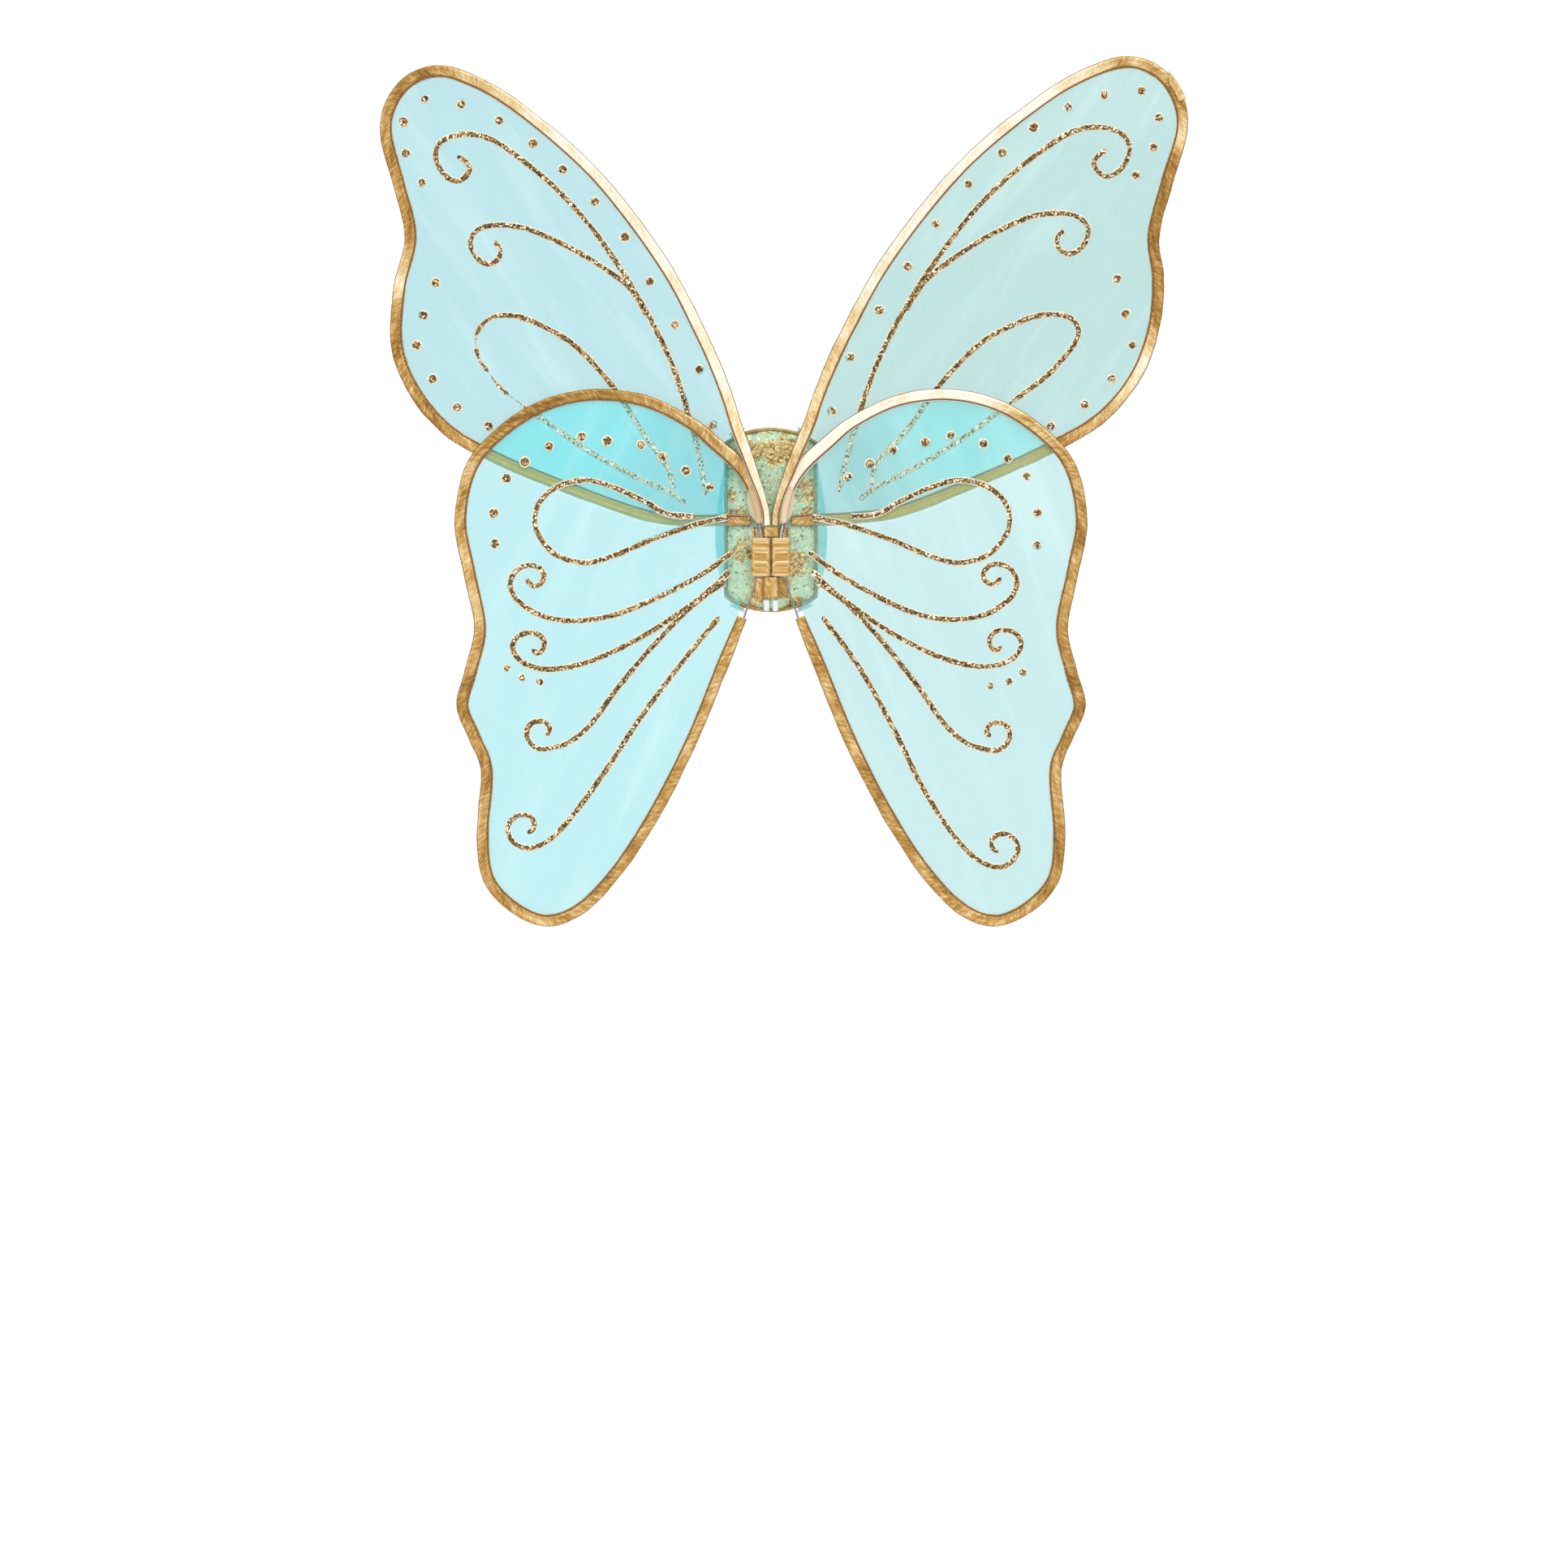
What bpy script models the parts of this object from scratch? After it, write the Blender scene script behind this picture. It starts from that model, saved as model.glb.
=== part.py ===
"""Child's dress-up fairy wings: four sheer wings on bound wire frames, hinged in pairs on a back pad.

Lengths below are millimetres and become metres where geometry is made. X runs to the wearer's right, Z is
up and +Y points at the wearer's back. The origin is the middle of the pad's flat face, which rests on the
wearer.
"""

import math

import bmesh
import bpy
import numpy as np
from mathutils import Matrix, Vector

MM = 0.001

# Layers, as Y of each middle plane: the upper wings lie next to the pad, the lower wings lie over them,
# and the upper leading edges cross over the lower wings at the root.
UPPER_Y = -10.5
LOWER_Y = -14.0
FRONT_Y = -17.2

# Shanks: the upper frames run down as straight wires, on which each pair of wings turns.
HINGE_X = 3.3
SHANK_BOTTOM = -64.0
WIRE_RADIUS = 0.8
WIRE_GAP = 0.25
BORE_RADIUS = 0.9

# Binding tape, folded over the wire and both faces of the membrane.
TAPE_WIDTH = 9.0
ROOT_TAPE_WIDTH = 5.4
TAPE_HALF = 1.4
TAPE_PLY = 0.35
TAPE_EDGE_HALF = 0.85
TAPE_SLOT_HALF = 0.52
TAPE_KNEE = 3.5
WIRE_INSET = 1.9
MEMBRANE_THICKNESS = 0.18
MEMBRANE_TUCK = 1.6
CLOTH_LEVEL, CLOTH_EASE = 4.0, 12.0

# The upper wings are a pair that was not bent quite alike: turn in degrees, and growth.
# Each upper wing's turn in degrees at its leading and trailing edges, and its growth. Between TRAIL_BEARING
# and LEAD_BEARING, seen from the root, the turn eases from one to the other.
UPPER_POSE = {-1: (0.0, 0.0, 1.0), 1: (-1.5, 2.0, 1.04)}
TRAIL_BEARING, LEAD_BEARING = 23.0, 38.0
ROOT_REACH = 60.0

# Outer edges, as (outward from the middle, up, layer Y, tape width), from the root along the leading
# edge and round to the trailing or inner edge.
UPPER_EDGE = (
    (0.6, -4.5, FRONT_Y, ROOT_TAPE_WIDTH),
    (1.2, 6, FRONT_Y, ROOT_TAPE_WIDTH),
    (4.0, 18, FRONT_Y, 6.0),
    (8.6, 32, FRONT_Y, 7.2),
    (14.2, 50, FRONT_Y, 8.6),
    (21.4, 70, FRONT_Y + 1.0, TAPE_WIDTH),
    (30.5, 98, UPPER_Y - 2.6, TAPE_WIDTH),
    (47, 137, UPPER_Y, TAPE_WIDTH),
    (77, 193, UPPER_Y, TAPE_WIDTH),
    (127, 258, UPPER_Y, TAPE_WIDTH),
    (183, 307, UPPER_Y, TAPE_WIDTH),
    (220, 329, UPPER_Y, TAPE_WIDTH),
    (247, 336, UPPER_Y, TAPE_WIDTH),
    (270, 328, UPPER_Y, TAPE_WIDTH),
    (285, 309, UPPER_Y, TAPE_WIDTH),
    (289, 284, UPPER_Y, TAPE_WIDTH),
    (279, 245, UPPER_Y, TAPE_WIDTH),
    (271, 209, UPPER_Y, TAPE_WIDTH),
    (279, 172, UPPER_Y, TAPE_WIDTH),
    (281, 128, UPPER_Y, TAPE_WIDTH),
    (267, 92, UPPER_Y, TAPE_WIDTH),
    (241, 62, UPPER_Y, TAPE_WIDTH),
    (206, 42, UPPER_Y, TAPE_WIDTH),
    (160, 22.5, UPPER_Y, TAPE_WIDTH),
    (96, -0.5, UPPER_Y, TAPE_WIDTH),
    (60, -5, UPPER_Y, TAPE_WIDTH),
    (34, -5, UPPER_Y, TAPE_WIDTH),
    (15, -4.5, UPPER_Y, 7.0),
)
LOWER_EDGE = (
    (6.3, -2, LOWER_Y, 6.0),
    (7.4, 10, LOWER_Y, 6.6),
    (11.5, 28, LOWER_Y, 8.5),
    (21, 44.5, LOWER_Y, 10.5),
    (38, 60, LOWER_Y, 10.5),
    (59, 76, LOWER_Y, TAPE_WIDTH),
    (93, 92, LOWER_Y, TAPE_WIDTH),
    (132, 96.5, LOWER_Y, TAPE_WIDTH),
    (170, 88, LOWER_Y, TAPE_WIDTH),
    (202, 68, LOWER_Y, TAPE_WIDTH),
    (225, 41, LOWER_Y, TAPE_WIDTH),
    (234, 0, LOWER_Y, TAPE_WIDTH),
    (227, -41, LOWER_Y, TAPE_WIDTH),
    (219.5, -80, LOWER_Y, TAPE_WIDTH),
    (226, -111, LOWER_Y, TAPE_WIDTH),
    (232.5, -138, LOWER_Y, TAPE_WIDTH),
    (223, -163, LOWER_Y, TAPE_WIDTH),
    (214.5, -187, LOWER_Y, TAPE_WIDTH),
    (217.5, -232, LOWER_Y, TAPE_WIDTH),
    (213, -267, LOWER_Y, TAPE_WIDTH),
    (193, -290, LOWER_Y, TAPE_WIDTH),
    (166, -301, LOWER_Y, TAPE_WIDTH),
    (138, -291, LOWER_Y, TAPE_WIDTH),
    (110, -262, LOWER_Y, TAPE_WIDTH),
    (82, -219, LOWER_Y, TAPE_WIDTH),
    (55, -166, LOWER_Y, TAPE_WIDTH),
    (32, -110, LOWER_Y, TAPE_WIDTH),
    (18, -74, LOWER_Y, 7.5),
)
EDGE_STEPS = {"upper": 54, "lower": 52}
ROOT_STEP_SHARE = 0.4

# Each membrane: from this height up the leading edge, out to this reach on the trailing one, then straight
# across the trim points near the root. The cuts are lines of inner vertices, outward and up.
UPPER_CLOTH_START, UPPER_CLOTH_END = 70.0, 50.0
LOWER_CLOTH_START = 12.0
UPPER_TRIM = ((52, 12, UPPER_Y), (48, 50, UPPER_Y), (42, 58, UPPER_Y))
LOWER_TRIM = ((19, -40, LOWER_Y), (14, -12, LOWER_Y))
UPPER_CUTS = (
    (20, 26, 32, 38, 46, 56, 70, 100, 160, 220),
    (20, 45, 56, 64, 74, 86, 98, 112, 130, 180, 240, 290),
)
LOWER_CUTS = ((60, 120, 180), (-220, -150, -80, 0, 50))

# Wire beyond the tape, as (outward, Y, up), down to where each end sits in the root clamp.
CLAMP_TOP, CLAMP_BOTTOM = -15.0, -41.0
CLAMP_RADIUS = 2.2
WRAP_GAP, WRAP_PLY, WRAP_REACH = 0.25, 0.5, 1.0
SLOT_INNER, SLOT_OUTER = 6.8, 11.6
WIRE_STEP = (SLOT_OUTER - SLOT_INNER) / 2
WIRE_END = CLAMP_BOTTOM + 3
SHANK_HEAD = ((HINGE_X, FRONT_Y, SHANK_BOTTOM), (HINGE_X, FRONT_Y, -9))
UPPER_TAIL = (
    (11.5, UPPER_Y, -2.5),
    (10.2, -12.2, -6.5),
    (9.3, -15.8, -10.5),
    (SLOT_INNER + WIRE_STEP, FRONT_Y, CLAMP_TOP),
    (SLOT_INNER + WIRE_STEP, FRONT_Y, WIRE_END),
)
LOWER_HEAD = (
    (SLOT_INNER, FRONT_Y, WIRE_END),
    (SLOT_INNER, FRONT_Y, CLAMP_TOP),
    (7.6, -15.8, -9.5),
    (8.6, LOWER_Y, -5),
)
LOWER_TAIL = (
    (18.2, LOWER_Y, -67),
    (14.0, -15.2, -56),
    (SLOT_OUTER, -16.9, -47),
    (SLOT_OUTER, FRONT_Y, CLAMP_BOTTOM),
    (SLOT_OUTER, FRONT_Y, WIRE_END),
)

# Back pad: arched top and bottom, straight sides.
PAD_WIDTH, PAD_HEIGHT = 70.0, 137.0
PAD_ARCH_RADIUS = 62.0
PAD_ARCH_STEPS = 10
PAD_FRONT = -7.6
PAD_LAYERS = {
    "back_pad_lining": (0.0, -0.8, 1.8, "lining"),
    "back_pad_foam": (-1.1, -4.9, 3.0, "foam"),
    "back_pad_stiffener": (-5.2, -6.3, 4.5, "stiffener"),
    "back_pad_cover": (-6.6, PAD_FRONT, 1.8, "glitter_fabric"),
}
PAD_EDGE_PLY = 1.5

# Sleeves, sewn to the pad, in which both shanks turn.
SLEEVES = {"upper_shank_sleeve": (-6.0, -13.0), "lower_shank_sleeve": (-43.0, -58.0)}
SLEEVE_FOOT_HALF = 14.0
SLEEVE_FOOT_PLY = 1.2
SLEEVE_WALL = 1.2
SLEEVE_GAP = 0.3

# Caps on the shanks' lower ends.
CAP_RADIUS, CAP_TOP, CAP_BOTTOM, CAP_FLOOR, CAP_CHAMFER = 2.2, -60.0, -68.0, 1.6, 1.1

# Elastic shoulder loops: each end lies on the rim of an arched end of the pad, STRAP_TILT degrees off its
# middle, under a sewn patch. Between them the loop reaches round the wearer's shoulder.
STRAP_WIDTH, STRAP_THICKNESS = 10.0, 1.2
STRAP_GAP = 0.3
STRAP_TILT = 23.0
STRAP_UNTWIST = 30.0
ARCH_UP = PAD_HEIGHT / 2 - PAD_ARCH_RADIUS
STRAP_END_RADIUS = PAD_ARCH_RADIUS + STRAP_GAP + STRAP_THICKNESS / 2
STRAP_END_X = STRAP_END_RADIUS * math.sin(math.radians(STRAP_TILT))
STRAP_END_Z = ARCH_UP + STRAP_END_RADIUS * math.cos(math.radians(STRAP_TILT))
STRAP_ROUTE = (
    (STRAP_END_X, -6.6, STRAP_END_Z),
    (STRAP_END_X, -1.5, STRAP_END_Z),
    (STRAP_END_X, 3.5, STRAP_END_Z - 0.2),
    (25.2, 12, 61.6),
    (28, 36, 50),
    (33, 67, 27),
    (37, 84, -8),
    (34, 70, -38),
    (28, 36, -56),
    (25.2, 12, -62.2),
    (STRAP_END_X, 3.5, 0.2 - STRAP_END_Z),
    (STRAP_END_X, -1.5, -STRAP_END_Z),
    (STRAP_END_X, -6.6, -STRAP_END_Z),
)
STRAP_STEPS = 44
PATCH_SIZE = (13.0, 6.4, 0.8)
PATCH_MIDDLE = -3.8
PATCH_EDGE = 0.2

COLOURS = {
    "membrane": ((0.52, 0.86, 0.87), 0.35, 0.0),
    "gold_tape": ((0.70, 0.50, 0.22), 0.38, 0.8),
    "steel": ((0.55, 0.55, 0.56), 0.35, 1.0),
    "glitter_fabric": ((0.50, 0.45, 0.22), 0.5, 0.5),
    "lining": ((0.62, 0.86, 0.82), 0.8, 0.0),
    "foam": ((0.90, 0.89, 0.84), 0.9, 0.0),
    "stiffener": ((0.85, 0.85, 0.85), 0.6, 0.0),
    "elastic": ((0.92, 0.95, 0.94), 0.7, 0.0),
    "clear_plastic": ((0.85, 0.87, 0.86), 0.3, 0.0),
}


def clear_scene():
    for obj in list(bpy.data.objects):
        bpy.data.objects.remove(obj, do_unlink=True)


def new_collection(name):
    collection = bpy.data.collections.new(name)
    bpy.context.scene.collection.children.link(collection)
    return collection


def make_material(name, colour, roughness, metallic):
    material = bpy.data.materials.new(name)
    material.use_nodes = True
    shader = material.node_tree.nodes["Principled BSDF"]
    shader.inputs["Base Color"].default_value = (*colour, 1.0)
    shader.inputs["Roughness"].default_value = roughness
    shader.inputs["Metallic"].default_value = metallic
    return material


def own_material(name, finish):
    """Each sub-part has a material of its own, with the colour of its finish."""
    return make_material(name, *COLOURS[finish])


def add_object(name, data, finish, collection, parent=None):
    obj = bpy.data.objects.new(name, data)
    data.materials.append(own_material(name, finish))
    collection.objects.link(obj)
    obj.parent = parent
    return obj


def mesh_from(bm, name):
    bmesh.ops.recalc_face_normals(bm, faces=bm.faces)
    mesh = bpy.data.meshes.new(name)
    bm.to_mesh(mesh)
    bm.free()
    return mesh


def smooth_rows(points, steps, root_share=1.0):
    """Rows along a smooth curve through the points, root_share times as far apart near both ends."""
    given = np.array(points, float)
    padded = np.vstack([2 * given[0] - given[1], given, 2 * given[-1] - given[-2]])
    fine = []
    for before, start, end, after in zip(padded, padded[1:], padded[2:], padded[3:]):
        for t in np.linspace(0, 1, 24, endpoint=False):
            fine.append(
                0.5 * (2 * start + (end - before) * t
                       + (2 * before - 5 * start + 4 * end - after) * t**2
                       + (3 * start - before - 3 * end + after) * t**3)
            )
    fine = np.array([*fine, given[-1]])
    along = np.concatenate([[0], np.cumsum(np.linalg.norm(np.diff(fine[:, :3], axis=0), axis=1))])
    share = np.linspace(0, 1, steps)
    weight = root_share + (1 - root_share) * np.clip(np.minimum(share, 1 - share) / 0.2, 0, 1)
    wanted = np.concatenate([[0], np.cumsum((weight[1:] + weight[:-1]) / 2)])
    wanted *= along[-1] / wanted[-1]
    return np.column_stack([np.interp(wanted, along, column) for column in fine.T])


def posed(points, leading, trailing, growth):
    """An edge list turned (degrees, anticlockwise) and grown about the root, easing in over ROOT_REACH."""
    moved = []
    for outward, up, layer, width in points:
        ease = min(1.0, math.hypot(outward, up) / ROOT_REACH) ** 2
        bearing = math.degrees(math.atan2(up, outward))
        lead = min(1.0, max(0.0, (bearing - TRAIL_BEARING) / (LEAD_BEARING - TRAIL_BEARING)))
        lead = lead * lead * (3 - 2 * lead)
        angle = math.radians(trailing + (leading - trailing) * lead) * ease
        grown = 1 + (growth - 1) * ease
        x = grown * (outward * math.cos(angle) - up * math.sin(angle))
        z = grown * (outward * math.sin(angle) + up * math.cos(angle))
        moved.append((x, z, layer, width))
    return moved


def inward(rows):
    """Unit vectors in the wing's plane, at right angles to the edge, that point at the membrane."""
    along = np.gradient(rows[:, :2], axis=0)
    along /= np.linalg.norm(along, axis=1, keepdims=True)
    return np.column_stack([along[:, 1], -along[:, 0]])


def on_hinge(side, outward, y, up):
    """A point in metres, seen from the hinge axis of this side's wings."""
    return Vector((side * (outward - HINGE_X), y - FRONT_Y, up)) * MM


def sweep(rings):
    """A closed body through rings of equally many points, with flat ends."""
    bm = bmesh.new()
    rows = [[bm.verts.new(point) for point in ring] for ring in rings]
    for one, two in zip(rows, rows[1:]):
        for k, corner in enumerate(one):
            after = (k + 1) % len(one)
            bm.faces.new((corner, one[after], two[after], two[k]))
    bm.faces.new(rows[0][::-1])
    bm.faces.new(rows[-1])
    return bm


def tape_section(width):
    """The folded tape's section, as (in from the outer edge, across the wing's plane)."""
    roof = TAPE_HALF - TAPE_PLY
    outer = [(width, TAPE_EDGE_HALF), (TAPE_KNEE + 0.2, TAPE_HALF), (0.9, TAPE_HALF), (0, TAPE_HALF / 2)]
    inner = [(width, TAPE_SLOT_HALF), (TAPE_KNEE - 0.1, roof), (0.5, roof)]
    return (
        outer
        + [(u, -v) for u, v in reversed(outer)]
        + [(u, -v) for u, v in inner]
        + [(u, v) for u, v in reversed(inner)]
    )


def tape_rings(rows, side):
    rings = []
    for (x, z, y, width), (across_x, across_z) in zip(rows, inward(rows)):
        rings.append([
            on_hinge(side, x + across_x * u, y - v, z + across_z * u) for u, v in tape_section(width)
        ])
    return rings


def wire_inset(width):
    return np.interp(width, (ROOT_TAPE_WIDTH, TAPE_WIDTH), (ROOT_TAPE_WIDTH / 2, WIRE_INSET))


def wire_route(rows, head, tail):
    """The wire's middle line, as (outward, Y, up): through the tape, with its ends beyond it."""
    held = [
        (x + across_x * wire_inset(width), y, z + across_z * wire_inset(width))
        for (x, z, y, width), (across_x, across_z) in zip(rows, inward(rows))
    ]
    return [*head, *held, *tail]


def tube(name, points, radius, finish, collection, parent):
    """A round wire along points in metres."""
    curve = bpy.data.curves.new(name, "CURVE")
    curve.dimensions = "3D"
    curve.bevel_depth = radius * MM
    curve.bevel_resolution = 1
    curve.use_fill_caps = True
    spline = curve.splines.new("POLY")
    spline.points.add(len(points) - 1)
    for point, place in zip(spline.points, points):
        point.co = (*place, 1.0)
    return add_object(name, curve, finish, collection, parent)


def membrane_outline(rows, first, last):
    """The cloth's edge inside the tape, between two rows."""
    return [
        (x + across_x * (width - MEMBRANE_TUCK), z + across_z * (width - MEMBRANE_TUCK), y)
        for (x, z, y, width), (across_x, across_z) in zip(rows, inward(rows))
    ][first:last]


def cloth_layer(x, z, raised, plane_y):
    """Y of the cloth: level where it leaves a raised edge, then easing down to the wing's plane."""
    distance, level = min((math.hypot(x - edge_x, z - edge_z), edge_y) for edge_x, edge_z, edge_y in raised)
    share = min(1.0, max(0.0, (distance - CLOTH_LEVEL) / CLOTH_EASE))
    return level + (plane_y - level) * share * share * (3 - 2 * share)


def raised_points(outline, plane_y, steps=12):
    """Close points along the stretches of an outline that lie off the wing's plane."""
    found = [(*outline[0][:2], plane_y)]
    for start, end in zip(outline, outline[1:]):
        if max(abs(start[2] - plane_y), abs(end[2] - plane_y)) > 0.02:
            found += [tuple(a + (b - a) * k / steps for a, b in zip(start, end)) for k in range(steps + 1)]
    return found


def membrane(name, side, edge, trim, plane_y, cuts, collection, parent):
    """One sheet inside the edge. Trim closes the outline near the root, and cuts add inner vertices."""
    outline = [*edge, *trim]
    bm = bmesh.new()
    bm.faces.new([bm.verts.new((x, z, 0)) for x, z, _ in outline])
    for axis, places in zip(((1, 0, 0), (0, 1, 0)), cuts):
        for place in places:
            bmesh.ops.bisect_plane(
                bm, geom=[*bm.verts, *bm.edges, *bm.faces], dist=1e-4,
                plane_co=Vector(axis) * place, plane_no=axis,
            )
    bmesh.ops.triangulate(bm, faces=bm.faces)
    raised = raised_points(outline, plane_y)
    for vertex in bm.verts:
        x, z, _ = vertex.co
        vertex.co = on_hinge(side, x, cloth_layer(x, z, raised, plane_y), z)
    obj = add_object(name, mesh_from(bm, name), "membrane", collection, parent)
    solidify = obj.modifiers.new("thickness", "SOLIDIFY")
    solidify.thickness = MEMBRANE_THICKNESS * MM
    solidify.offset = 0
    return obj


def prism(name, outlines, low, high, finish, collection, facing="Z", place=(0, 0), parent=None):
    """A flat outline with holes, extruded from low to high along Z, or along -Y when facing is Y."""
    curve = bpy.data.curves.new(name, "CURVE")
    curve.dimensions = "2D"
    curve.fill_mode = "BOTH"
    curve.extrude = abs(high - low) / 2 * MM
    for outline in outlines:
        spline = curve.splines.new("POLY")
        spline.points.add(len(outline) - 1)
        spline.use_cyclic_u = True
        for point, (a, b) in zip(spline.points, outline):
            point.co = ((a - place[0]) * MM, (b - place[1]) * MM, 0, 1)
    obj = add_object(name, curve, finish, collection, parent)
    middle = (low + high) / 2 * MM
    if facing == "Y":
        obj.rotation_euler = (math.pi / 2, 0, 0)
        obj.location = (0, middle, 0)
    else:
        obj.location = (0, 0, middle)
    return obj


def arc(centre, radius, start, end, steps):
    """Points on an arc between two angles in degrees."""
    angles = [math.radians(start + (end - start) * k / steps) for k in range(steps + 1)]
    return [(centre[0] + radius * math.cos(a), centre[1] + radius * math.sin(a)) for a in angles]


def stadium(side, inner, outer, radius, y=FRONT_Y):
    """A slot's outline between two centres on one side."""
    points = arc((outer, y), radius, -90, 90, 6) + arc((inner, y), radius, 90, 270, 6)
    return [(side * a, b) for a, b in points]


def circle(centre, radius, steps=12):
    return arc(centre, radius, 0, 360 * (steps - 1) / steps, steps - 1)


def pad_outline(inset):
    half = PAD_WIDTH / 2 - inset
    radius = PAD_ARCH_RADIUS - inset
    centre = (0, PAD_HEIGHT / 2 - PAD_ARCH_RADIUS)
    reach = math.degrees(math.asin(half / radius))
    top = arc(centre, radius, 90 - reach, 90 + reach, PAD_ARCH_STEPS)
    return top + [(-x, -z) for x, z in top]


def make_pad(collection):
    for name, (back, front, inset, finish) in PAD_LAYERS.items():
        prism(name, [pad_outline(inset)], front, back, finish, collection, facing="Y")
    ring = [pad_outline(0), pad_outline(PAD_EDGE_PLY)]
    prism("back_pad_edge_binding", ring, PAD_FRONT, 0.0, "gold_tape", collection, facing="Y")


def sleeve_outline():
    """A strap with a foot on each side that lies over both shanks."""
    foot_y = PAD_FRONT - SLEEVE_GAP
    half = HINGE_X + BORE_RADIUS + SLEEVE_WALL
    radius = BORE_RADIUS + SLEEVE_WALL
    right = [(SLEEVE_FOOT_HALF, foot_y), (SLEEVE_FOOT_HALF, foot_y - SLEEVE_FOOT_PLY),
             (half + 1, foot_y - SLEEVE_FOOT_PLY), (half, foot_y - SLEEVE_FOOT_PLY - 1.4)]
    right += arc((HINGE_X, FRONT_Y), radius, 0, -90, 5)
    return right + [(-x, y) for x, y in reversed(right)]


def make_sleeves(collection):
    holes = [circle((side * HINGE_X, FRONT_Y), BORE_RADIUS) for side in (-1, 1)]
    for name, (top, bottom) in SLEEVES.items():
        prism(name, [sleeve_outline(), *holes], bottom, top, "gold_tape", collection)


def make_cap(name, collection, parent):
    """A turned cap with a blind hole for the wire's end."""
    bore = WIRE_RADIUS + WIRE_GAP
    profile = (
        (0, CAP_BOTTOM + CAP_FLOOR),
        (bore, CAP_BOTTOM + CAP_FLOOR),
        (bore, CAP_TOP),
        (CAP_RADIUS, CAP_TOP),
        (CAP_RADIUS, CAP_BOTTOM + CAP_CHAMFER),
        (CAP_RADIUS - CAP_CHAMFER, CAP_BOTTOM),
        (0, CAP_BOTTOM),
    )
    mesh = bpy.data.meshes.new(name)
    mesh.from_pydata([(r * MM, 0, z * MM) for r, z in profile],
                     [(k, k + 1) for k in range(len(profile) - 1)], [])
    obj = add_object(name, mesh, "clear_plastic", collection, parent)
    screw = obj.modifiers.new("turn", "SCREW")
    screw.steps = screw.render_steps = 12
    screw.use_merge_vertices = True
    screw.merge_threshold = 1e-5
    return obj


def make_patch(name, side, end, collection):
    """A small sewn patch over a strap's end. end is 1 at the pad's top and -1 at its bottom."""
    bpy.ops.mesh.primitive_cube_add(size=1)
    obj = bpy.context.object
    obj.name = obj.data.name = name
    obj.data.transform(Matrix.Diagonal((*(length * MM for length in PATCH_SIZE), 1.0)))
    obj.data.materials.append(own_material(name, "elastic"))
    tilt = math.radians(STRAP_TILT)
    radius = STRAP_END_RADIUS + STRAP_THICKNESS / 2 + STRAP_GAP + PATCH_SIZE[2] / 2
    place = (side * radius * math.sin(tilt), PATCH_MIDDLE, end * (ARCH_UP + radius * math.cos(tilt)))
    obj.location = Vector(place) * MM
    obj.rotation_euler = (0, side * end * tilt, 0)
    for owner in list(obj.users_collection):
        owner.objects.unlink(obj)
    collection.objects.link(obj)
    bevel = obj.modifiers.new("edge", "BEVEL")
    bevel.width = PATCH_EDGE * MM
    bevel.segments = 1
    return obj


def make_strap(name, side, collection):
    rows = smooth_rows(STRAP_ROUTE, STRAP_STEPS)
    along = np.gradient(rows, axis=0)
    along /= np.linalg.norm(along, axis=1, keepdims=True)
    rings = []
    for place, tangent in zip(rows, along):
        tilt = math.radians(STRAP_TILT) * max(0.0, 1 - max(0.0, place[1]) / STRAP_UNTWIST)
        level = np.array((math.cos(tilt), 0, -math.copysign(math.sin(tilt), place[2])))
        wide = level - level.dot(tangent) * tangent
        wide /= np.linalg.norm(wide)
        thin = np.cross(tangent, wide)
        corners = ((-1, -1), (1, -1), (1, 1), (-1, 1))
        ring = [place + a * wide * STRAP_WIDTH / 2 + b * thin * STRAP_THICKNESS / 2 for a, b in corners]
        rings.append([Vector((side * x, y, z)) * MM for x, y, z in ring])
    add_object(name, mesh_from(sweep(rings), name), "elastic", collection)


def make_frame(name, rows, side, head, tail, axis, collection):
    """A wing's bent wire and the tape bound over it."""
    binding = sweep(tape_rings(rows, side))
    add_object(f"{name}_binding", mesh_from(binding, f"{name}_binding"), "gold_tape", collection, axis)
    points = [on_hinge(side, *place) for place in wire_route(rows, head, tail)]
    tube(f"{name}_wire_frame", points, WIRE_RADIUS, "steel", collection, axis)


def make_upper_wing(word, side, axis, collection):
    rows = smooth_rows(posed(UPPER_EDGE, *UPPER_POSE[side]), EDGE_STEPS["upper"], ROOT_STEP_SHARE)
    make_frame(f"{word}_upper", rows, side, SHANK_HEAD, UPPER_TAIL, axis, collection)
    first = int(np.argmax(rows[:, 1] > UPPER_CLOTH_START))
    last = len(rows) - int(np.argmax(rows[::-1, 0] > UPPER_CLOTH_END))
    edge = membrane_outline(rows, first, last)
    membrane(f"{word}_upper_membrane", side, edge, UPPER_TRIM, UPPER_Y, UPPER_CUTS, collection, axis)


def make_lower_wing(word, side, axis, collection):
    rows = smooth_rows(LOWER_EDGE, EDGE_STEPS["lower"], ROOT_STEP_SHARE)
    make_frame(f"{word}_lower", rows, side, LOWER_HEAD, LOWER_TAIL, axis, collection)
    first = int(np.argmax(rows[:, 1] > LOWER_CLOTH_START))
    edge = membrane_outline(rows, first, len(rows) - 1)
    membrane(f"{word}_lower_membrane", side, edge, LOWER_TRIM, LOWER_Y, LOWER_CUTS, collection, axis)


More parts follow.
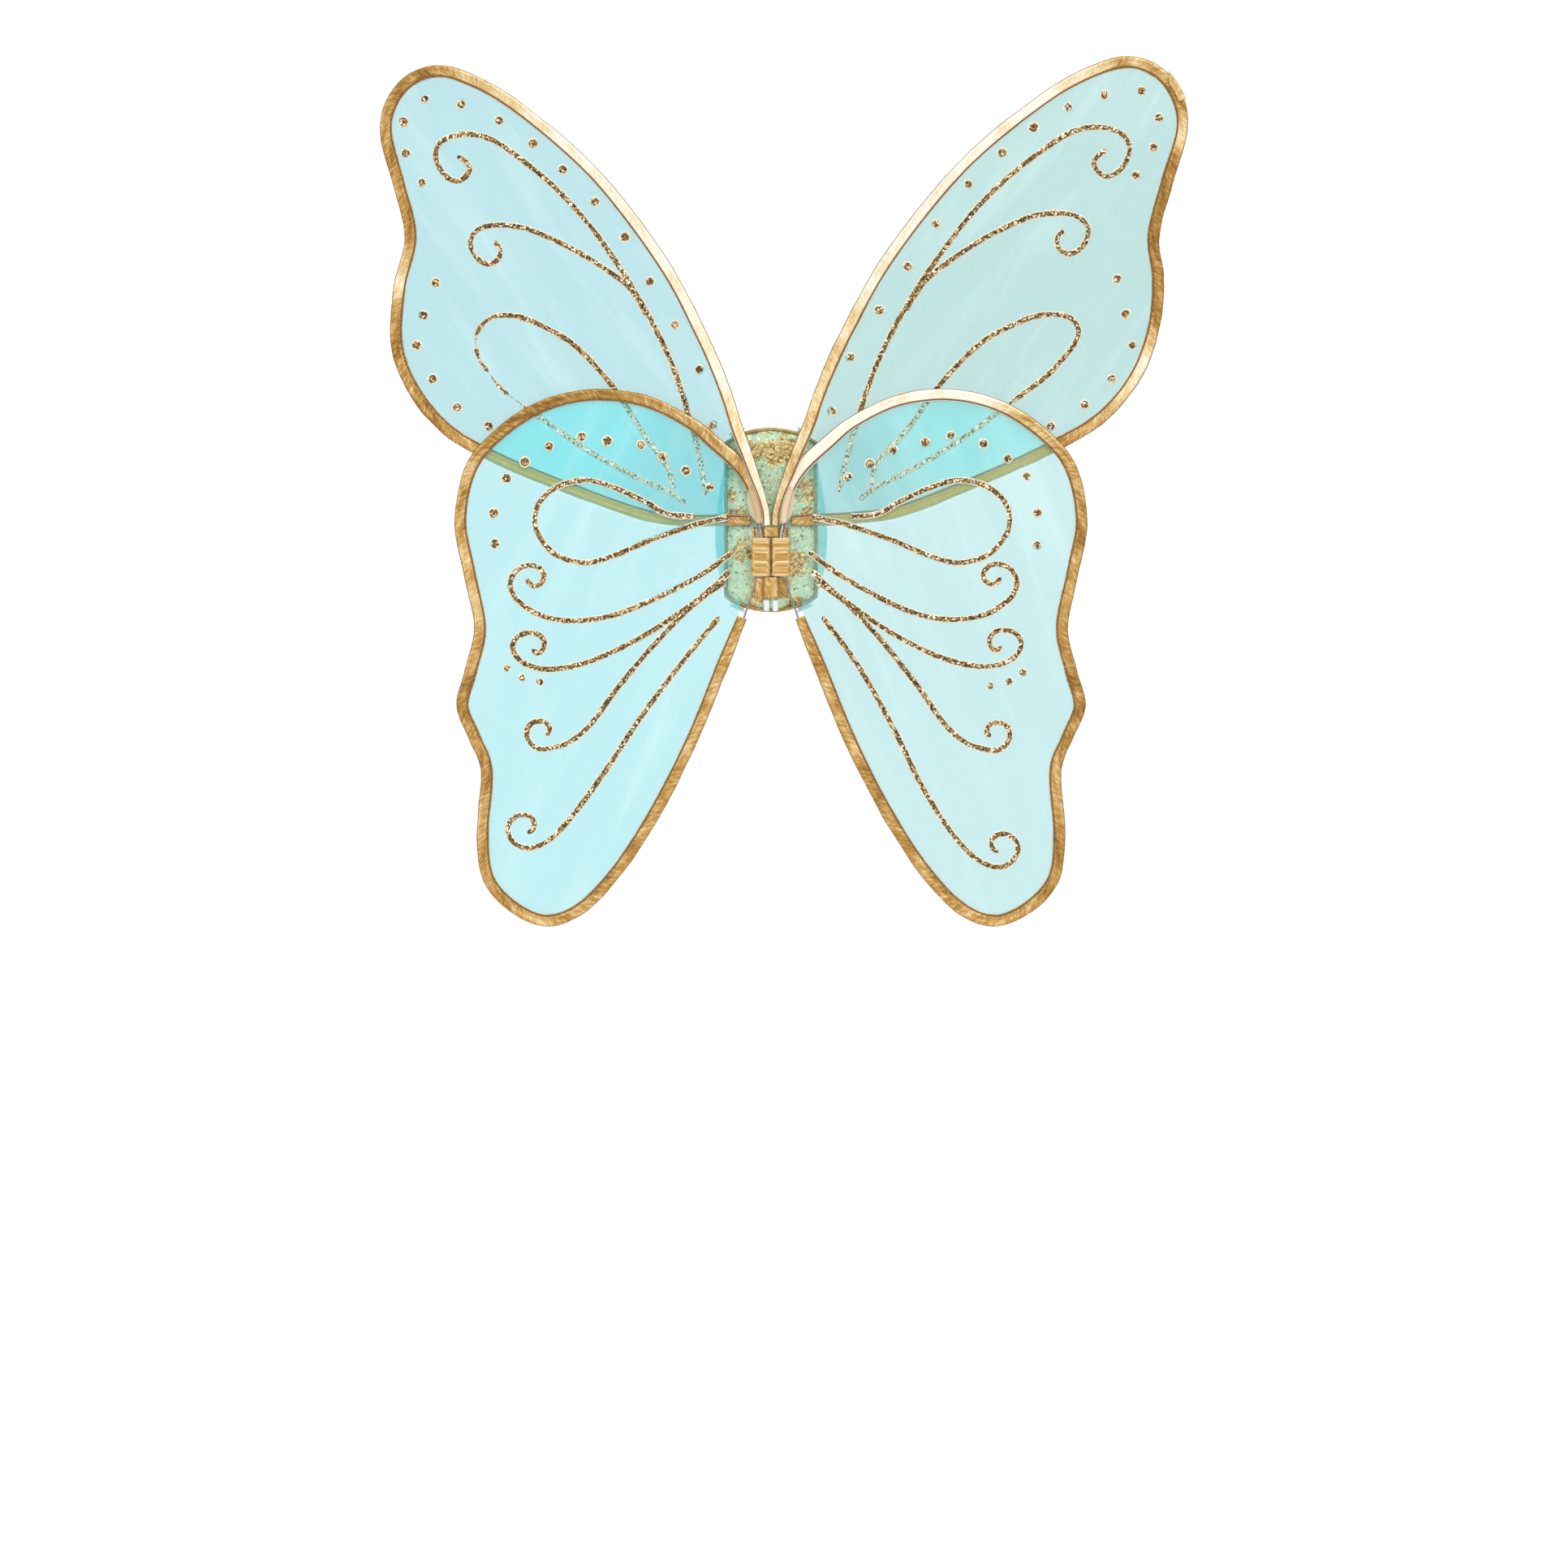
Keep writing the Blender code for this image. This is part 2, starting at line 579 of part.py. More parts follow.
def make_root(word, side, axis, collection):
    """The crimped clamp that holds one side's four wires, and the tape wrapped round it."""
    shift = (side * HINGE_X, FRONT_Y)
    outer = stadium(side, HINGE_X, SLOT_OUTER, CLAMP_RADIUS)
    bore = circle((side * HINGE_X, FRONT_Y), WIRE_RADIUS + WIRE_GAP)
    slot = stadium(side, SLOT_INNER, SLOT_OUTER, WIRE_RADIUS + WIRE_GAP)
    prism(f"{word}_root_clamp", [outer, bore, slot], CLAMP_BOTTOM, CLAMP_TOP, "steel", collection,
          place=shift, parent=axis)
    inside = stadium(side, HINGE_X, SLOT_OUTER, CLAMP_RADIUS + WRAP_GAP)
    outside = stadium(side, HINGE_X, SLOT_OUTER, CLAMP_RADIUS + WRAP_GAP + WRAP_PLY)
    prism(f"{word}_root_wrap", [outside, inside], CLAMP_BOTTOM - WRAP_REACH, CLAMP_TOP + WRAP_REACH,
          "gold_tape", collection, place=shift, parent=axis)
    make_cap(f"{word}_shank_cap", collection, axis)


def make_side(word, side, collection):
    axis = bpy.data.objects.new(f"{word}_fold_axis", None)
    axis.location = Vector((side * HINGE_X, FRONT_Y, 0)) * MM
    collection.objects.link(axis)
    make_upper_wing(word, side, axis, collection)
    make_lower_wing(word, side, axis, collection)
    make_root(word, side, axis, collection)
    make_strap(f"{word}_shoulder_strap", side, collection)
    for place, end in (("top", 1), ("bottom", -1)):
        make_patch(f"{word}_strap_patch_{place}", side, end, collection)


def main():
    clear_scene()
    collection = new_collection("fairy_wings")
    make_pad(collection)
    make_sleeves(collection)
    for word, side in (("left", -1), ("right", 1)):
        make_side(word, side, collection)


main()
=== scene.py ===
"""Looks of the fairy wings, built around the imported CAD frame.

Working lengths are millimetres, in the CAD frame: X to the wearer's right, Z up, +Y towards the wearer.
A wing's own coordinates are (outward from the middle, up), and a side of -1 or 1 turns outward into X.
"""

import functools
import itertools
import math

import bmesh
import bpy
import numpy as np
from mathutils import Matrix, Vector, geometry

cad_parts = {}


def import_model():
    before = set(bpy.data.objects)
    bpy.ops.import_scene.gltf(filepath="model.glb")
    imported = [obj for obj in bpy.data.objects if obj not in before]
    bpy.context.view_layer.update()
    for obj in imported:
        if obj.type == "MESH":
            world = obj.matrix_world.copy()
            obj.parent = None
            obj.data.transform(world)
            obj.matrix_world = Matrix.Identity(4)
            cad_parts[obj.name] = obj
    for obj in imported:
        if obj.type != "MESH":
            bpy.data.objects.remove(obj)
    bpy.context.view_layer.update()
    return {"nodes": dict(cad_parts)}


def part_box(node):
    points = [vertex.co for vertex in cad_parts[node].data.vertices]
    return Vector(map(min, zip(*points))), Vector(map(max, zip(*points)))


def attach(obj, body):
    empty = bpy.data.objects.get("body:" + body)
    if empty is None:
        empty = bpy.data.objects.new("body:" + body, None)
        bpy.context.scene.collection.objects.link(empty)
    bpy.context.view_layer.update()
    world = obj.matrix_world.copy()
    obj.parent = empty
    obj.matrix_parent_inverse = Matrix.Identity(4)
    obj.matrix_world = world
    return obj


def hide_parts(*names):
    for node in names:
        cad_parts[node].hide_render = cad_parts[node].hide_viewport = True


MM = 0.001
SIDES = {"left": -1, "right": 1}

# The camera sees IMAGE_WIDTH across at the wings' plane, from straight in front.
CAMERA_DISTANCE = 6000.0
IMAGE_WIDTH = 1159.2
VIEW_CENTRE = (9.6, -12.5, -195.6)
SENSOR = 36.0
FLOOR_UP, FLOOR_RADIUS = -800.0, 1100.0

# Layers of the wings, as Y of each middle plane.
UPPER_Y, LOWER_Y, FRONT_Y = -10.5, -14.0, -17.2
HINGE_X = 3.3
CLAMP_OUTER_X = 11.6

TAPE_WIDTH, ROOT_TAPE_WIDTH = 9.0, 5.4
MEMBRANE_TUCK = 1.6
# Each upper wing's turn in degrees at its leading and trailing edges, and its growth. Between TRAIL_BEARING
# and LEAD_BEARING, seen from the root, the turn eases from one to the other.
UPPER_POSE = {-1: (0.0, 0.0, 1.0), 1: (-1.5, 2.0, 1.04)}
TRAIL_BEARING, LEAD_BEARING = 23.0, 38.0
ROOT_REACH = 60.0


def edge_points(layer, *points):
    """Points that all have a layer Y and a tape width: by default the wing's own layer and TAPE_WIDTH."""
    return [point + (layer, TAPE_WIDTH)[len(point) - 2:] for point in points]


# Outer edges, as (outward, up, layer Y, tape width), from the root along the leading edge.
UPPER_EDGE = edge_points(
    UPPER_Y,
    (0.6, -4.5, FRONT_Y, ROOT_TAPE_WIDTH), (1.2, 6, FRONT_Y, ROOT_TAPE_WIDTH), (4, 18, FRONT_Y, 6.0),
    (8.6, 32, FRONT_Y, 7.2), (14.2, 50, FRONT_Y, 8.6), (21.4, 70, FRONT_Y + 1.0), (30.5, 98, UPPER_Y - 2.6),
    (47, 137), (77, 193), (127, 258), (183, 307), (220, 329), (247, 336), (270, 328), (285, 309), (289, 284),
    (279, 245), (271, 209), (279, 172), (281, 128), (267, 92), (241, 62), (206, 42), (160, 22.5), (96, -0.5),
    (60, -5), (34, -5), (15, -4.5, UPPER_Y, 7.0),
)
LOWER_EDGE = edge_points(
    LOWER_Y,
    (6.3, -2, LOWER_Y, 6.0), (7.4, 10, LOWER_Y, 6.6), (11.5, 28, LOWER_Y, 8.5), (21, 44.5, LOWER_Y, 10.5),
    (38, 60, LOWER_Y, 10.5), (59, 76), (93, 92), (132, 96.5), (170, 88), (202, 68), (225, 41), (234, 0),
    (227, -41), (219.5, -80), (226, -111), (232.5, -138), (223, -163), (214.5, -187), (217.5, -232),
    (213, -267), (193, -290), (166, -301), (138, -291), (110, -262), (82, -219), (55, -166), (32, -110),
    (18, -74, LOWER_Y, 7.5),
)
EDGE_SPACING = 2.5

# Glitter swirls, as (outward, up), from the inner end of each curl to the root.
UPPER_SWIRLS = (
    ((232, 269), (225, 264), (223, 258), (227, 252.5), (233, 250), (241, 254.5), (246, 262), (248, 270),
     (245, 278), (237, 283), (226, 285), (212, 283), (195, 274), (163, 248.5), (137, 221), (115, 191),
     (95, 159), (75, 119), (62, 81), (52, 42), (48.5, 18)),
    ((204.5, 206), (200.5, 200), (201.5, 193), (208.5, 189), (216, 192), (221, 199), (222, 207), (217, 214),
     (206.5, 217.5), (191, 217), (175, 213), (143, 198), (111, 177), (99, 163), (92, 151)),
    ((72, 22), (77, 39), (96, 66), (116, 97), (137, 121), (151, 133), (167, 142), (183, 149), (198.5, 151),
     (210.5, 147), (218, 136), (217, 122), (210.5, 111), (197.5, 95), (170, 75), (137, 52), (105, 34),
     (77, 21), (63, 12)),
)
LOWER_SWIRLS = (
    ((56, 2), (77, 4), (93, 13), (116, 23.5), (137, 29), (158, 24), (172, 11), (174, -6), (165, -21),
     (153, -29), (135, -32), (114, -26), (88, -15), (56, -4), (30, 2)),
    ((181, -44), (176, -49), (170, -47), (168, -41), (172, -35.5), (179, -34), (187, -37), (192, -44),
     (192, -52), (186, -61), (170, -71), (146, -75), (117, -71), (84, -58), (50, -40), (28, -24)),
    ((176.5, -96), (172, -99), (168, -95), (168, -89.5), (172, -85), (180, -84), (187, -86.5), (191, -93),
     (189, -100), (183, -106), (172, -110), (158, -110.5), (137, -106), (113, -96), (84, -80), (50, -56),
     (30, -38)),
    ((166, -160), (163.5, -155), (167, -150), (174, -149.5), (179, -153), (180.5, -159), (178, -165),
     (172, -169.5), (163, -169), (148, -164), (132, -150), (112, -123), (84, -90), (56, -62), (34, -46)),
    ((180, -232), (175.5, -228.5), (175.5, -222.5), (180, -219), (187, -219), (193, -224), (194.5, -231),
     (190, -239), (181, -243), (170, -240.5), (158, -232), (142, -213), (121, -184), (96, -146), (66, -106),
     (38, -72)),
)
# The right wings' swirls were drawn too: how far each curl lies from the left one's mirror image.
RIGHT_UPPER_SHIFT = ((0, 0), (-2, 5.5), (0, 0))
RIGHT_LOWER_SHIFT = ((2, 0), (-11, 1), (-6, 2), (-4, -1), (-12, -14))

# Each wing's glitter dots, large and small, as (outward, up).
DOT_RADIUS, SMALL_DOT_RADIUS = 4.0, 3.2
DOTS = {
    "left_upper": (
        ((256, 311), (229, 307), (201, 295), (176, 278), (154, 259), (130, 235), (108, 209), (89.5, 176),
         (71, 144), (53, 111), (43, 70), (272, 294), (270, 271), (258, 249), (248, 175), (257, 151),
         (262, 129), (250, 104), (232, 83), (209, 69)), ()),
    "right_upper": (
        ((274, 317), (247, 314), (219.5, 305), (194, 290), (171, 271), (146, 248), (122, 219), (101, 187),
         (80, 155), (59, 120), (45, 80), (287, 297), (283, 275), (270, 254.5), (256, 178), (262, 152),
         (267, 129), (252, 104), (232, 85), (207, 69)), ()),
    "left_lower": (
        ((182, 42.5), (164, 54), (140, 61), (121, 58), (96, 55), (80, 46), (63, 36), (45, 24), (195.5, 30.5),
         (205, 4.5), (204, -18)), ((195, -110), (184, -117), (171, -120))),
    "right_lower": (
        ((189, 32), (175, 45), (157, 56), (133, 62), (114, 57), (90, 51), (73, 41), (57, 31), (197, 5),
         (196.5, -19)), ((186, -113), (176, -120), (162, -123))),
}

# Painted light along each edge tape, where paler lame is painted highlight and darker bronze is painted
# shade, as (share of the way from the root, paleness).
PAINTED_EDGE_LIGHT = {
    "left_upper": ((0, 0.85), (0.08, 0.8), (0.16, 0.75), (0.24, 0.9), (0.36, 0.85), (0.42, 0.45),
                   (0.46, 0.05), (0.5, 0.25), (0.54, 0.1), (0.6, 0.12), (0.63, 0.7), (0.65, 0.1),
                   (0.72, 0.05), (0.8, 0.2), (1, 0.15)),
    "right_upper": ((0, 0.5), (0.1, 0.55), (0.16, 0.6), (0.22, 0.95), (0.38, 0.95), (0.44, 0.4), (0.5, 0.1),
                    (0.53, 0.6), (0.56, 0.0), (0.66, 0.0), (0.7, 0.75), (0.74, 0.6), (0.78, 0.2), (1, 0.15)),
    "left_lower": ((0, 0.35), (0.06, 0.35), (0.12, 0.3), (0.17, 0.1), (0.22, 0.0), (0.3, 0.25), (0.42, 0.35),
                   (0.5, 0.1), (0.6, 0.2), (1, 0.2)),
    "right_lower": ((0, 1.0), (0.1, 1.0), (0.22, 0.95), (0.25, 0.4), (0.32, 0.2), (0.5, 0.15), (1, 0.2)),
}
# Each wing's cloth: its dye, how much of what is behind it hides, and the lean of its streaks in degrees.
ORGANZA = {
    "left_upper": ((0.03, 0.50, 0.56, 1), 0.51, -40),
    "right_upper": ((0.035, 0.45, 0.42, 1), 0.50, -40),
    "left_lower": ((0.036, 0.61, 0.67, 1), 0.49, 25),
    "right_lower": ((0.13, 0.565, 0.58, 1), 0.49, 25),
}
# How much less the cloth tints the pad, and the tape and glitter behind it.
PAD_SHOW, THROUGH_SHOW = 0.86, 0.5
# The crossed cloths are painted brighter cyan, a painted glow of light through both layers, from this far out
# from the root, rising over this length.
GLOW_FROM, GLOW_RISE = 75.0, 70.0

PAD_WIDTH, PAD_HEIGHT, PAD_ARCH_RADIUS = 70.0, 137.0, 62.0
ARCH_UP = PAD_HEIGHT / 2 - PAD_ARCH_RADIUS
PAD_FRONT = -7.6


def srgb(red, green, blue):
    """A colour of a shader from 8-bit display values."""
    channels = [value / 255 for value in (red, green, blue)]
    return (*[c / 12.92 if c <= 0.04045 else ((c + 0.055) / 1.055) ** 2.4 for c in channels], 1.0)


WHITE = (1, 1, 1, 1)
PAINTED_GLOW_CYAN = (0.0, 0.97, 0.97, 1)
GOLD_DARK = srgb(138, 96, 40)
GOLD = srgb(194, 148, 76)
GOLD_LIGHT = srgb(236, 208, 152)
GOLD_CREAM = srgb(255, 246, 228)
GOLD_BROWN = srgb(104, 68, 26)
# Painted colour of gold tape seen through the teal cloth.
PAINTED_CLOTH_OLIVE = srgb(206, 176, 0)


# ---------------------------------------------------------------- noise and curves


def wander(*places, seed=0):
    """Smooth noise from -1 to 1 over arrays of places, one lattice step per unit."""
    places = np.broadcast_arrays(*[np.asarray(place, float) for place in places])
    floors = [np.floor(place).astype(np.int64) for place in places]
    shares = [ease(place - floor) for place, floor in zip(places, floors)]
    total = np.zeros(places[0].shape)
    for corner in itertools.product((0, 1), repeat=len(places)):
        code = np.full(places[0].shape, seed * 7919 + 17, np.int64)
        weight = np.ones(places[0].shape)
        for floor, share, step, prime in zip(floors, shares, corner, (73856093, 19349663)):
            code ^= (floor + step) * prime
            weight *= share if step else 1 - share
        code = ((code ^ (code >> 13)) * 1274126177) & 0x7FFFFFFF
        code = (code ^ (code >> 15)) & 0xFFFF
        total += weight * (code / 32767.5 - 1)
    return total


def ease(share):
    share = np.clip(share, 0, 1)
    return share * share * (3 - 2 * share)


def lengths(points):
    """How far along a line each of its points is."""
    return np.concatenate([[0], np.cumsum(np.linalg.norm(np.diff(points, axis=0), axis=1))])


def smooth_rows(points, spacing):
    """Rows about spacing apart on a smooth curve through the points, and how far along each one is."""
    given = np.array(points, float)
    padded = np.vstack([2 * given[0] - given[1], given, 2 * given[-1] - given[-2]])
    t = np.linspace(0, 1, 24, endpoint=False)[:, None]
    fine = [
        0.5 * (2 * start + (end - before) * t + (2 * before - 5 * start + 4 * end - after) * t**2
               + (3 * start - before - 3 * end + after) * t**3)
        for before, start, end, after in zip(padded, padded[1:], padded[2:], padded[3:])
    ]
    fine = np.vstack([*fine, given[-1:]])
    along = lengths(fine[:, :3])
    wanted = np.linspace(0, along[-1], max(3, round(along[-1] / spacing) + 1))
    return np.column_stack([np.interp(wanted, along, column) for column in fine.T]), wanted


def posed(points, leading, trailing, growth):
    """Points turned (degrees, anticlockwise) and grown about the root, easing in over ROOT_REACH."""
    moved = []
    for outward, up, *rest in points:
        share = min(1.0, math.hypot(outward, up) / ROOT_REACH) ** 2
        bearing = math.degrees(math.atan2(up, outward))
        lead = float(ease((bearing - TRAIL_BEARING) / (LEAD_BEARING - TRAIL_BEARING)))
        angle = math.radians(trailing + (leading - trailing) * lead) * share
        grown = 1 + (growth - 1) * share
        x = grown * (outward * math.cos(angle) - up * math.sin(angle))
        z = grown * (outward * math.sin(angle) + up * math.cos(angle))
        moved.append((x, z, *rest))
    return moved


def inward(rows):
    """Unit vectors in the wing's plane, at right angles to the edge, that point at the membrane."""
    along = np.gradient(rows[:, :2], axis=0)
    along /= np.linalg.norm(along, axis=1, keepdims=True)
    return np.column_stack([along[:, 1], -along[:, 0]])


def inside(polygon, points):
    """Which points lie inside a polygon."""
    hits = np.zeros(len(points), bool)
    for (x1, z1), (x2, z2) in zip(polygon, np.roll(polygon, -1, axis=0)):
        crosses = (z1 > points[:, 1]) != (z2 > points[:, 1])
        at = (x2 - x1) * (points[:, 1] - z1) / (z2 - z1 + 1e-12) + x1
        hits ^= crosses & (points[:, 0] < at)
    return hits


def nearest(points, targets, batch=2000):
    """Distance from each point to the nearest target, and which one it is."""
    found, index = np.empty(len(points)), np.empty(len(points), int)
    for start in range(0, len(points), batch):
        part = slice(start, start + batch)
        gaps = np.linalg.norm(points[part, None, :] - targets[None, :, :], axis=2)
        index[part], found[part] = gaps.argmin(axis=1), gaps.min(axis=1)
    return found, index


def depth_inside(polygon, points):
    """How far each point lies inside a polygon, negative outside it."""
    gap, _ = nearest(points, polygon)
    return np.where(inside(polygon, points), gap, -gap)


# ---------------------------------------------------------------- meshes


def new_object(name, points, faces, material):
    """A smooth mesh object from points in millimetres."""
    mesh = bpy.data.meshes.new(name)
    mesh.from_pydata((np.asarray(points, float).reshape(-1, 3) * MM).tolist(), [], faces)
    bm = bmesh.new()
    bm.from_mesh(mesh)
    bmesh.ops.recalc_face_normals(bm, faces=bm.faces)
    bm.to_mesh(mesh)
    bm.free()
    mesh.polygons.foreach_set("use_smooth", [True] * len(mesh.polygons))
    mesh.materials.append(material)
    obj = bpy.data.objects.new(name, mesh)
    bpy.context.scene.collection.objects.link(obj)
    return obj


def dress(obj, body, node=None):
    """Let a piece ride on a body, and take the place of a CAD node if one is named."""
    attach(obj, body)
    if node:
        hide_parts(node)
    return obj


def grid_faces(rows, columns, start=0, around=False, closed=False):
    """Quads between rows of points. around joins each row's ends, closed the last row and the first."""
    faces = []
    for i in range(rows if closed else rows - 1):
        one, two = start + i * columns, start + (i + 1) % rows * columns
        for k in range(columns if around else columns - 1):
            after = (k + 1) % columns
            faces.append((one + k, one + after, two + after, two + k))
    return faces


def tube_faces(count, ring, closed=False):
    """Faces of a tube of count rings, with a cap on both ends unless it is closed."""
    faces = grid_faces(count, ring, around=True, closed=closed)
    if not closed:
        faces += [tuple(range(ring))[::-1], tuple(range((count - 1) * ring, count * ring))]
    return faces


def write_attribute(obj, name, values):
    """One value for each point, or one for them all."""
    layer = obj.data.attributes.new(name, "FLOAT", "POINT")
    values = np.broadcast_to(np.asarray(values, np.float32).ravel(), len(layer.data))
    layer.data.foreach_set("value", np.ascontiguousarray(values))


def write_run(obj, along, around):
    """UV map "run": metres along a tape or cord, and metres round it."""
    layer = obj.data.uv_layers.new(name="run")
    corner = np.empty(len(obj.data.loops), int)
    obj.data.loops.foreach_get("vertex_index", corner)
    pairs = np.stack(np.broadcast_arrays(along, around), axis=-1).reshape(-1, 2)
    layer.data.foreach_set("uv", (pairs[corner] * MM).ravel())


def joined(parts):
    """One list of points and one of faces from several pairs."""
    points, faces, start = [], [], 0
    for part_points, part_faces in parts:
        points.append(np.asarray(part_points, float).reshape(-1, 3))
        faces += [tuple(start + k for k in face) for face in part_faces]
        start += len(points[-1])
    return np.vstack(points), faces


def node_box(node):
    """A CAD node's lowest and highest corners, in millimetres."""
    return [np.array(corner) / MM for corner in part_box(node)]


# ---------------------------------------------------------------- materials


class Nodes:
    """Short ways to add nodes to a tree."""

    def __init__(self, tree):
        self.tree = tree

    def node(self, kind, wires=None, **settings):
        made = self.tree.nodes.new("ShaderNode" + kind)
        for key, value in settings.items():
            setattr(made, key, value)
        for socket, value in (wires or {}).items():
            self.wire(made.inputs[socket], value)
        return made

    def wire(self, socket, value):
        if isinstance(value, bpy.types.NodeSocket):
            self.tree.links.new(value, socket)
        else:
            socket.default_value = value

    def ranged(self, value, low, high, start=0.0, end=1.0):
        return self.node("MapRange", {"Value": value, "From Min": start, "From Max": end,
                                      "To Min": low, "To Max": high}).outputs["Result"]


class Paint(Nodes):
    """A Principled material. Its sockets are named in lower case, as in base_color."""

    NOISE_RANGE = (0.3, 0.7)

    def __init__(self, name, **sockets):
        self.material = bpy.data.materials.new(name)
        self.material.use_nodes = True
        super().__init__(self.material.node_tree)
        self.set(**sockets)

    def set(self, **sockets):
        shader = self.tree.nodes["Principled BSDF"]
        for name, value in sockets.items():
            self.wire(shader.inputs[name.replace("_", " ").title().replace("Ior", "IOR")], value)

    def finish(self, bump=None, **sockets):
        """The material, with more sockets set. bump is a height, its depth in millimetres and strength."""
        self.set(**sockets)
        if bump:
            height, depth, strength = bump
            wires = {"Height": height, "Distance": depth * MM, "Strength": strength}
            self.set(normal=self.node("Bump", wires).outputs["Normal"])
        return self.material

    def places(self):
        return self.node("TexCoord").outputs["Object"]

    def run(self):
        return self.node("UVMap", uv_map="run").outputs["UV"]

    def attribute(self, name):
        return self.node("Attribute", attribute_name=name).outputs["Fac"]

    def mapped(self, vector, scale, turn):
        """Coordinates turned, then divided into cells of 1/scale metres."""
        if turn:
            vector = self.node("Mapping", {"Vector": vector, "Rotation": turn}).outputs["Vector"]
        scale = scale if isinstance(scale, tuple) else (scale,) * 3
        return self.node("Mapping", {"Vector": vector, "Scale": scale}).outputs["Vector"]

    def noise(self, vector, scale, turn=None, detail=2.0, roughness=0.5, distortion=0.0):
        wires = {"Vector": self.mapped(vector, scale, turn), "Scale": 1.0, "Detail": detail,
                 "Roughness": roughness, "Distortion": distortion}
        return self.node("TexNoise", wires).outputs["Fac"]

    def cells(self, vector, scale):
        return self.node("TexVoronoi", {"Vector": self.mapped(vector, scale, None), "Scale": 1.0}).outputs

    def wave(self, vector, scale, distortion=0.0, bands="X", turn=None):
        wires = {"Vector": self.mapped(vector, scale, turn), "Scale": 1.0, "Distortion": distortion}
        return self.node("TexWave", wires, bands_direction=bands).outputs["Fac"]

    def math(self, operation, *values, clamp=False):
        made = self.node("Math", operation=operation, use_clamp=clamp)
        for socket, value in zip(made.inputs, values):
            self.wire(socket, value)
        return made.outputs["Value"]

    def add(self, *values):
        return functools.reduce(lambda one, two: self.math("ADD", one, two), values)

    def times(self, one, two, clamp=False):
        return self.math("MULTIPLY", one, two, clamp=clamp)

    def spread(self, noise, low, high):
        """Noise, most of which lies within NOISE_RANGE, spread from low to high."""
        return self.ranged(noise, low, high, *self.NOISE_RANGE)

    def ramp(self, value, *stops, hard=False):
        made = self.node("ValToRGB", {"Fac": value})
        made.color_ramp.interpolation = "CONSTANT" if hard else "LINEAR"
        elements = made.color_ramp.elements
        while len(elements) < len(stops):
            elements.new(0.5)
        for element, (place, colour) in zip(elements, stops):
            element.position, element.color = place, colour
        return made.outputs["Color"]

    def mix(self, share, one, two):
        made = self.node("Mix", data_type="RGBA")
        for place, value in ((0, share), (6, one), (7, two)):
            self.wire(made.inputs[place], value)
        return made.outputs[2]


def lame_paint(name, edged=False, dye=None):
    """Gold lame: a pale metal foil on thin cloth, with soft diagonal creases whose light and shade are
    painted into its colour.

    An edged tape has painted shade by its "across" attribute: a dark line along its folded edge outside, and
    a dark, flecked groove inside.
    """
    paint = Paint(name, specular_tint=(1, 0.95, 0.85, 1))
    run = paint.run()
    creases = paint.noise(run, (520, 130, 380), (0, 0, math.radians(38)), distortion=0.5)
    folds = paint.noise(run, (45, 240, 200), (0, 0, math.radians(-8)))
    grain = paint.noise(run, 1100)
    # How pale the lame is: along the wing edges this is painted highlight and shade, elsewhere one even
    # value.
    pale = paint.attribute("pale")
    # Painted light and shade of the creases and folds, weaker where the lame is painted pale, over its
    # paleness and a random grain.
    tone = paint.add(paint.spread(creases, -0.2, 0.2), paint.spread(folds, -0.16, 0.16))
    tone = paint.times(tone, paint.ranged(pale, 1.0, 0.4))
    tone = paint.add(tone, paint.ranged(pale, 0.22, 0.97), paint.spread(grain, -0.1, 0.1))
    colour = paint.ramp(tone, (0.04, GOLD_DARK), (0.36, GOLD), (0.66, GOLD_LIGHT), (0.95, GOLD_CREAM))
    if dye:
        colour = paint.mix(0.6, colour, dye)
    if edged:
        # Painted shade: dark along the folded outer edge and in the stitch groove, with brown and pale flecks
        # there that fade where the lame is painted pale.
        across = paint.attribute("across")
        outer = paint.ranged(across, 1.0, 0.0, 0.03, 0.085)
        groove = paint.times(paint.ranged(across, 0.0, 1.0, 0.78, 0.85),
                             paint.ranged(across, 1.0, 0.0, 0.93, 0.98))
        dark = paint.math("MAXIMUM", outer, groove, clamp=True)
        flecks = paint.ranged(paint.noise(run, 900, detail=1.0), 0.0, 0.85, 0.5, 0.62)
        flecks = paint.times(flecks, paint.ranged(pale, 1.0, 0.0, 0.1, 0.5))
        colour = paint.mix(dark, colour, paint.mix(flecks, GOLD_BROWN, GOLD_LIGHT))
        # Painted light: the tape's front behind the lower wing's teal cloth is painted olive, standing in for
        # light tinted through that cloth, less in the painted edge shade.
        painted_olive = paint.times(paint.attribute("behind_cloth_painted_light"), paint.ranged(dark, 0.9, 0.35))
        colour = paint.mix(painted_olive, colour, PAINTED_CLOTH_OLIVE)
    return paint.finish(
        base_color=colour, metallic=paint.ranged(pale, 0.7, 0.2), roughness=paint.spread(grain, 0.34, 0.5),
        bump=(paint.add(creases, paint.times(grain, 0.08)), 0.3, 0.45))


def thread_paint(name, colour, light):
    """Twisted sewing thread."""
    paint = Paint(name, roughness=0.62, sheen_weight=0.3)
    twist = paint.wave(paint.places(), 900, 1.5, turn=(0.3, 0.5, 0.8))
    return paint.finish(base_color=paint.mix(paint.ranged(twist, 0.1, 0.75), colour, light),
                        bump=(twist, 0.12, 0.7))


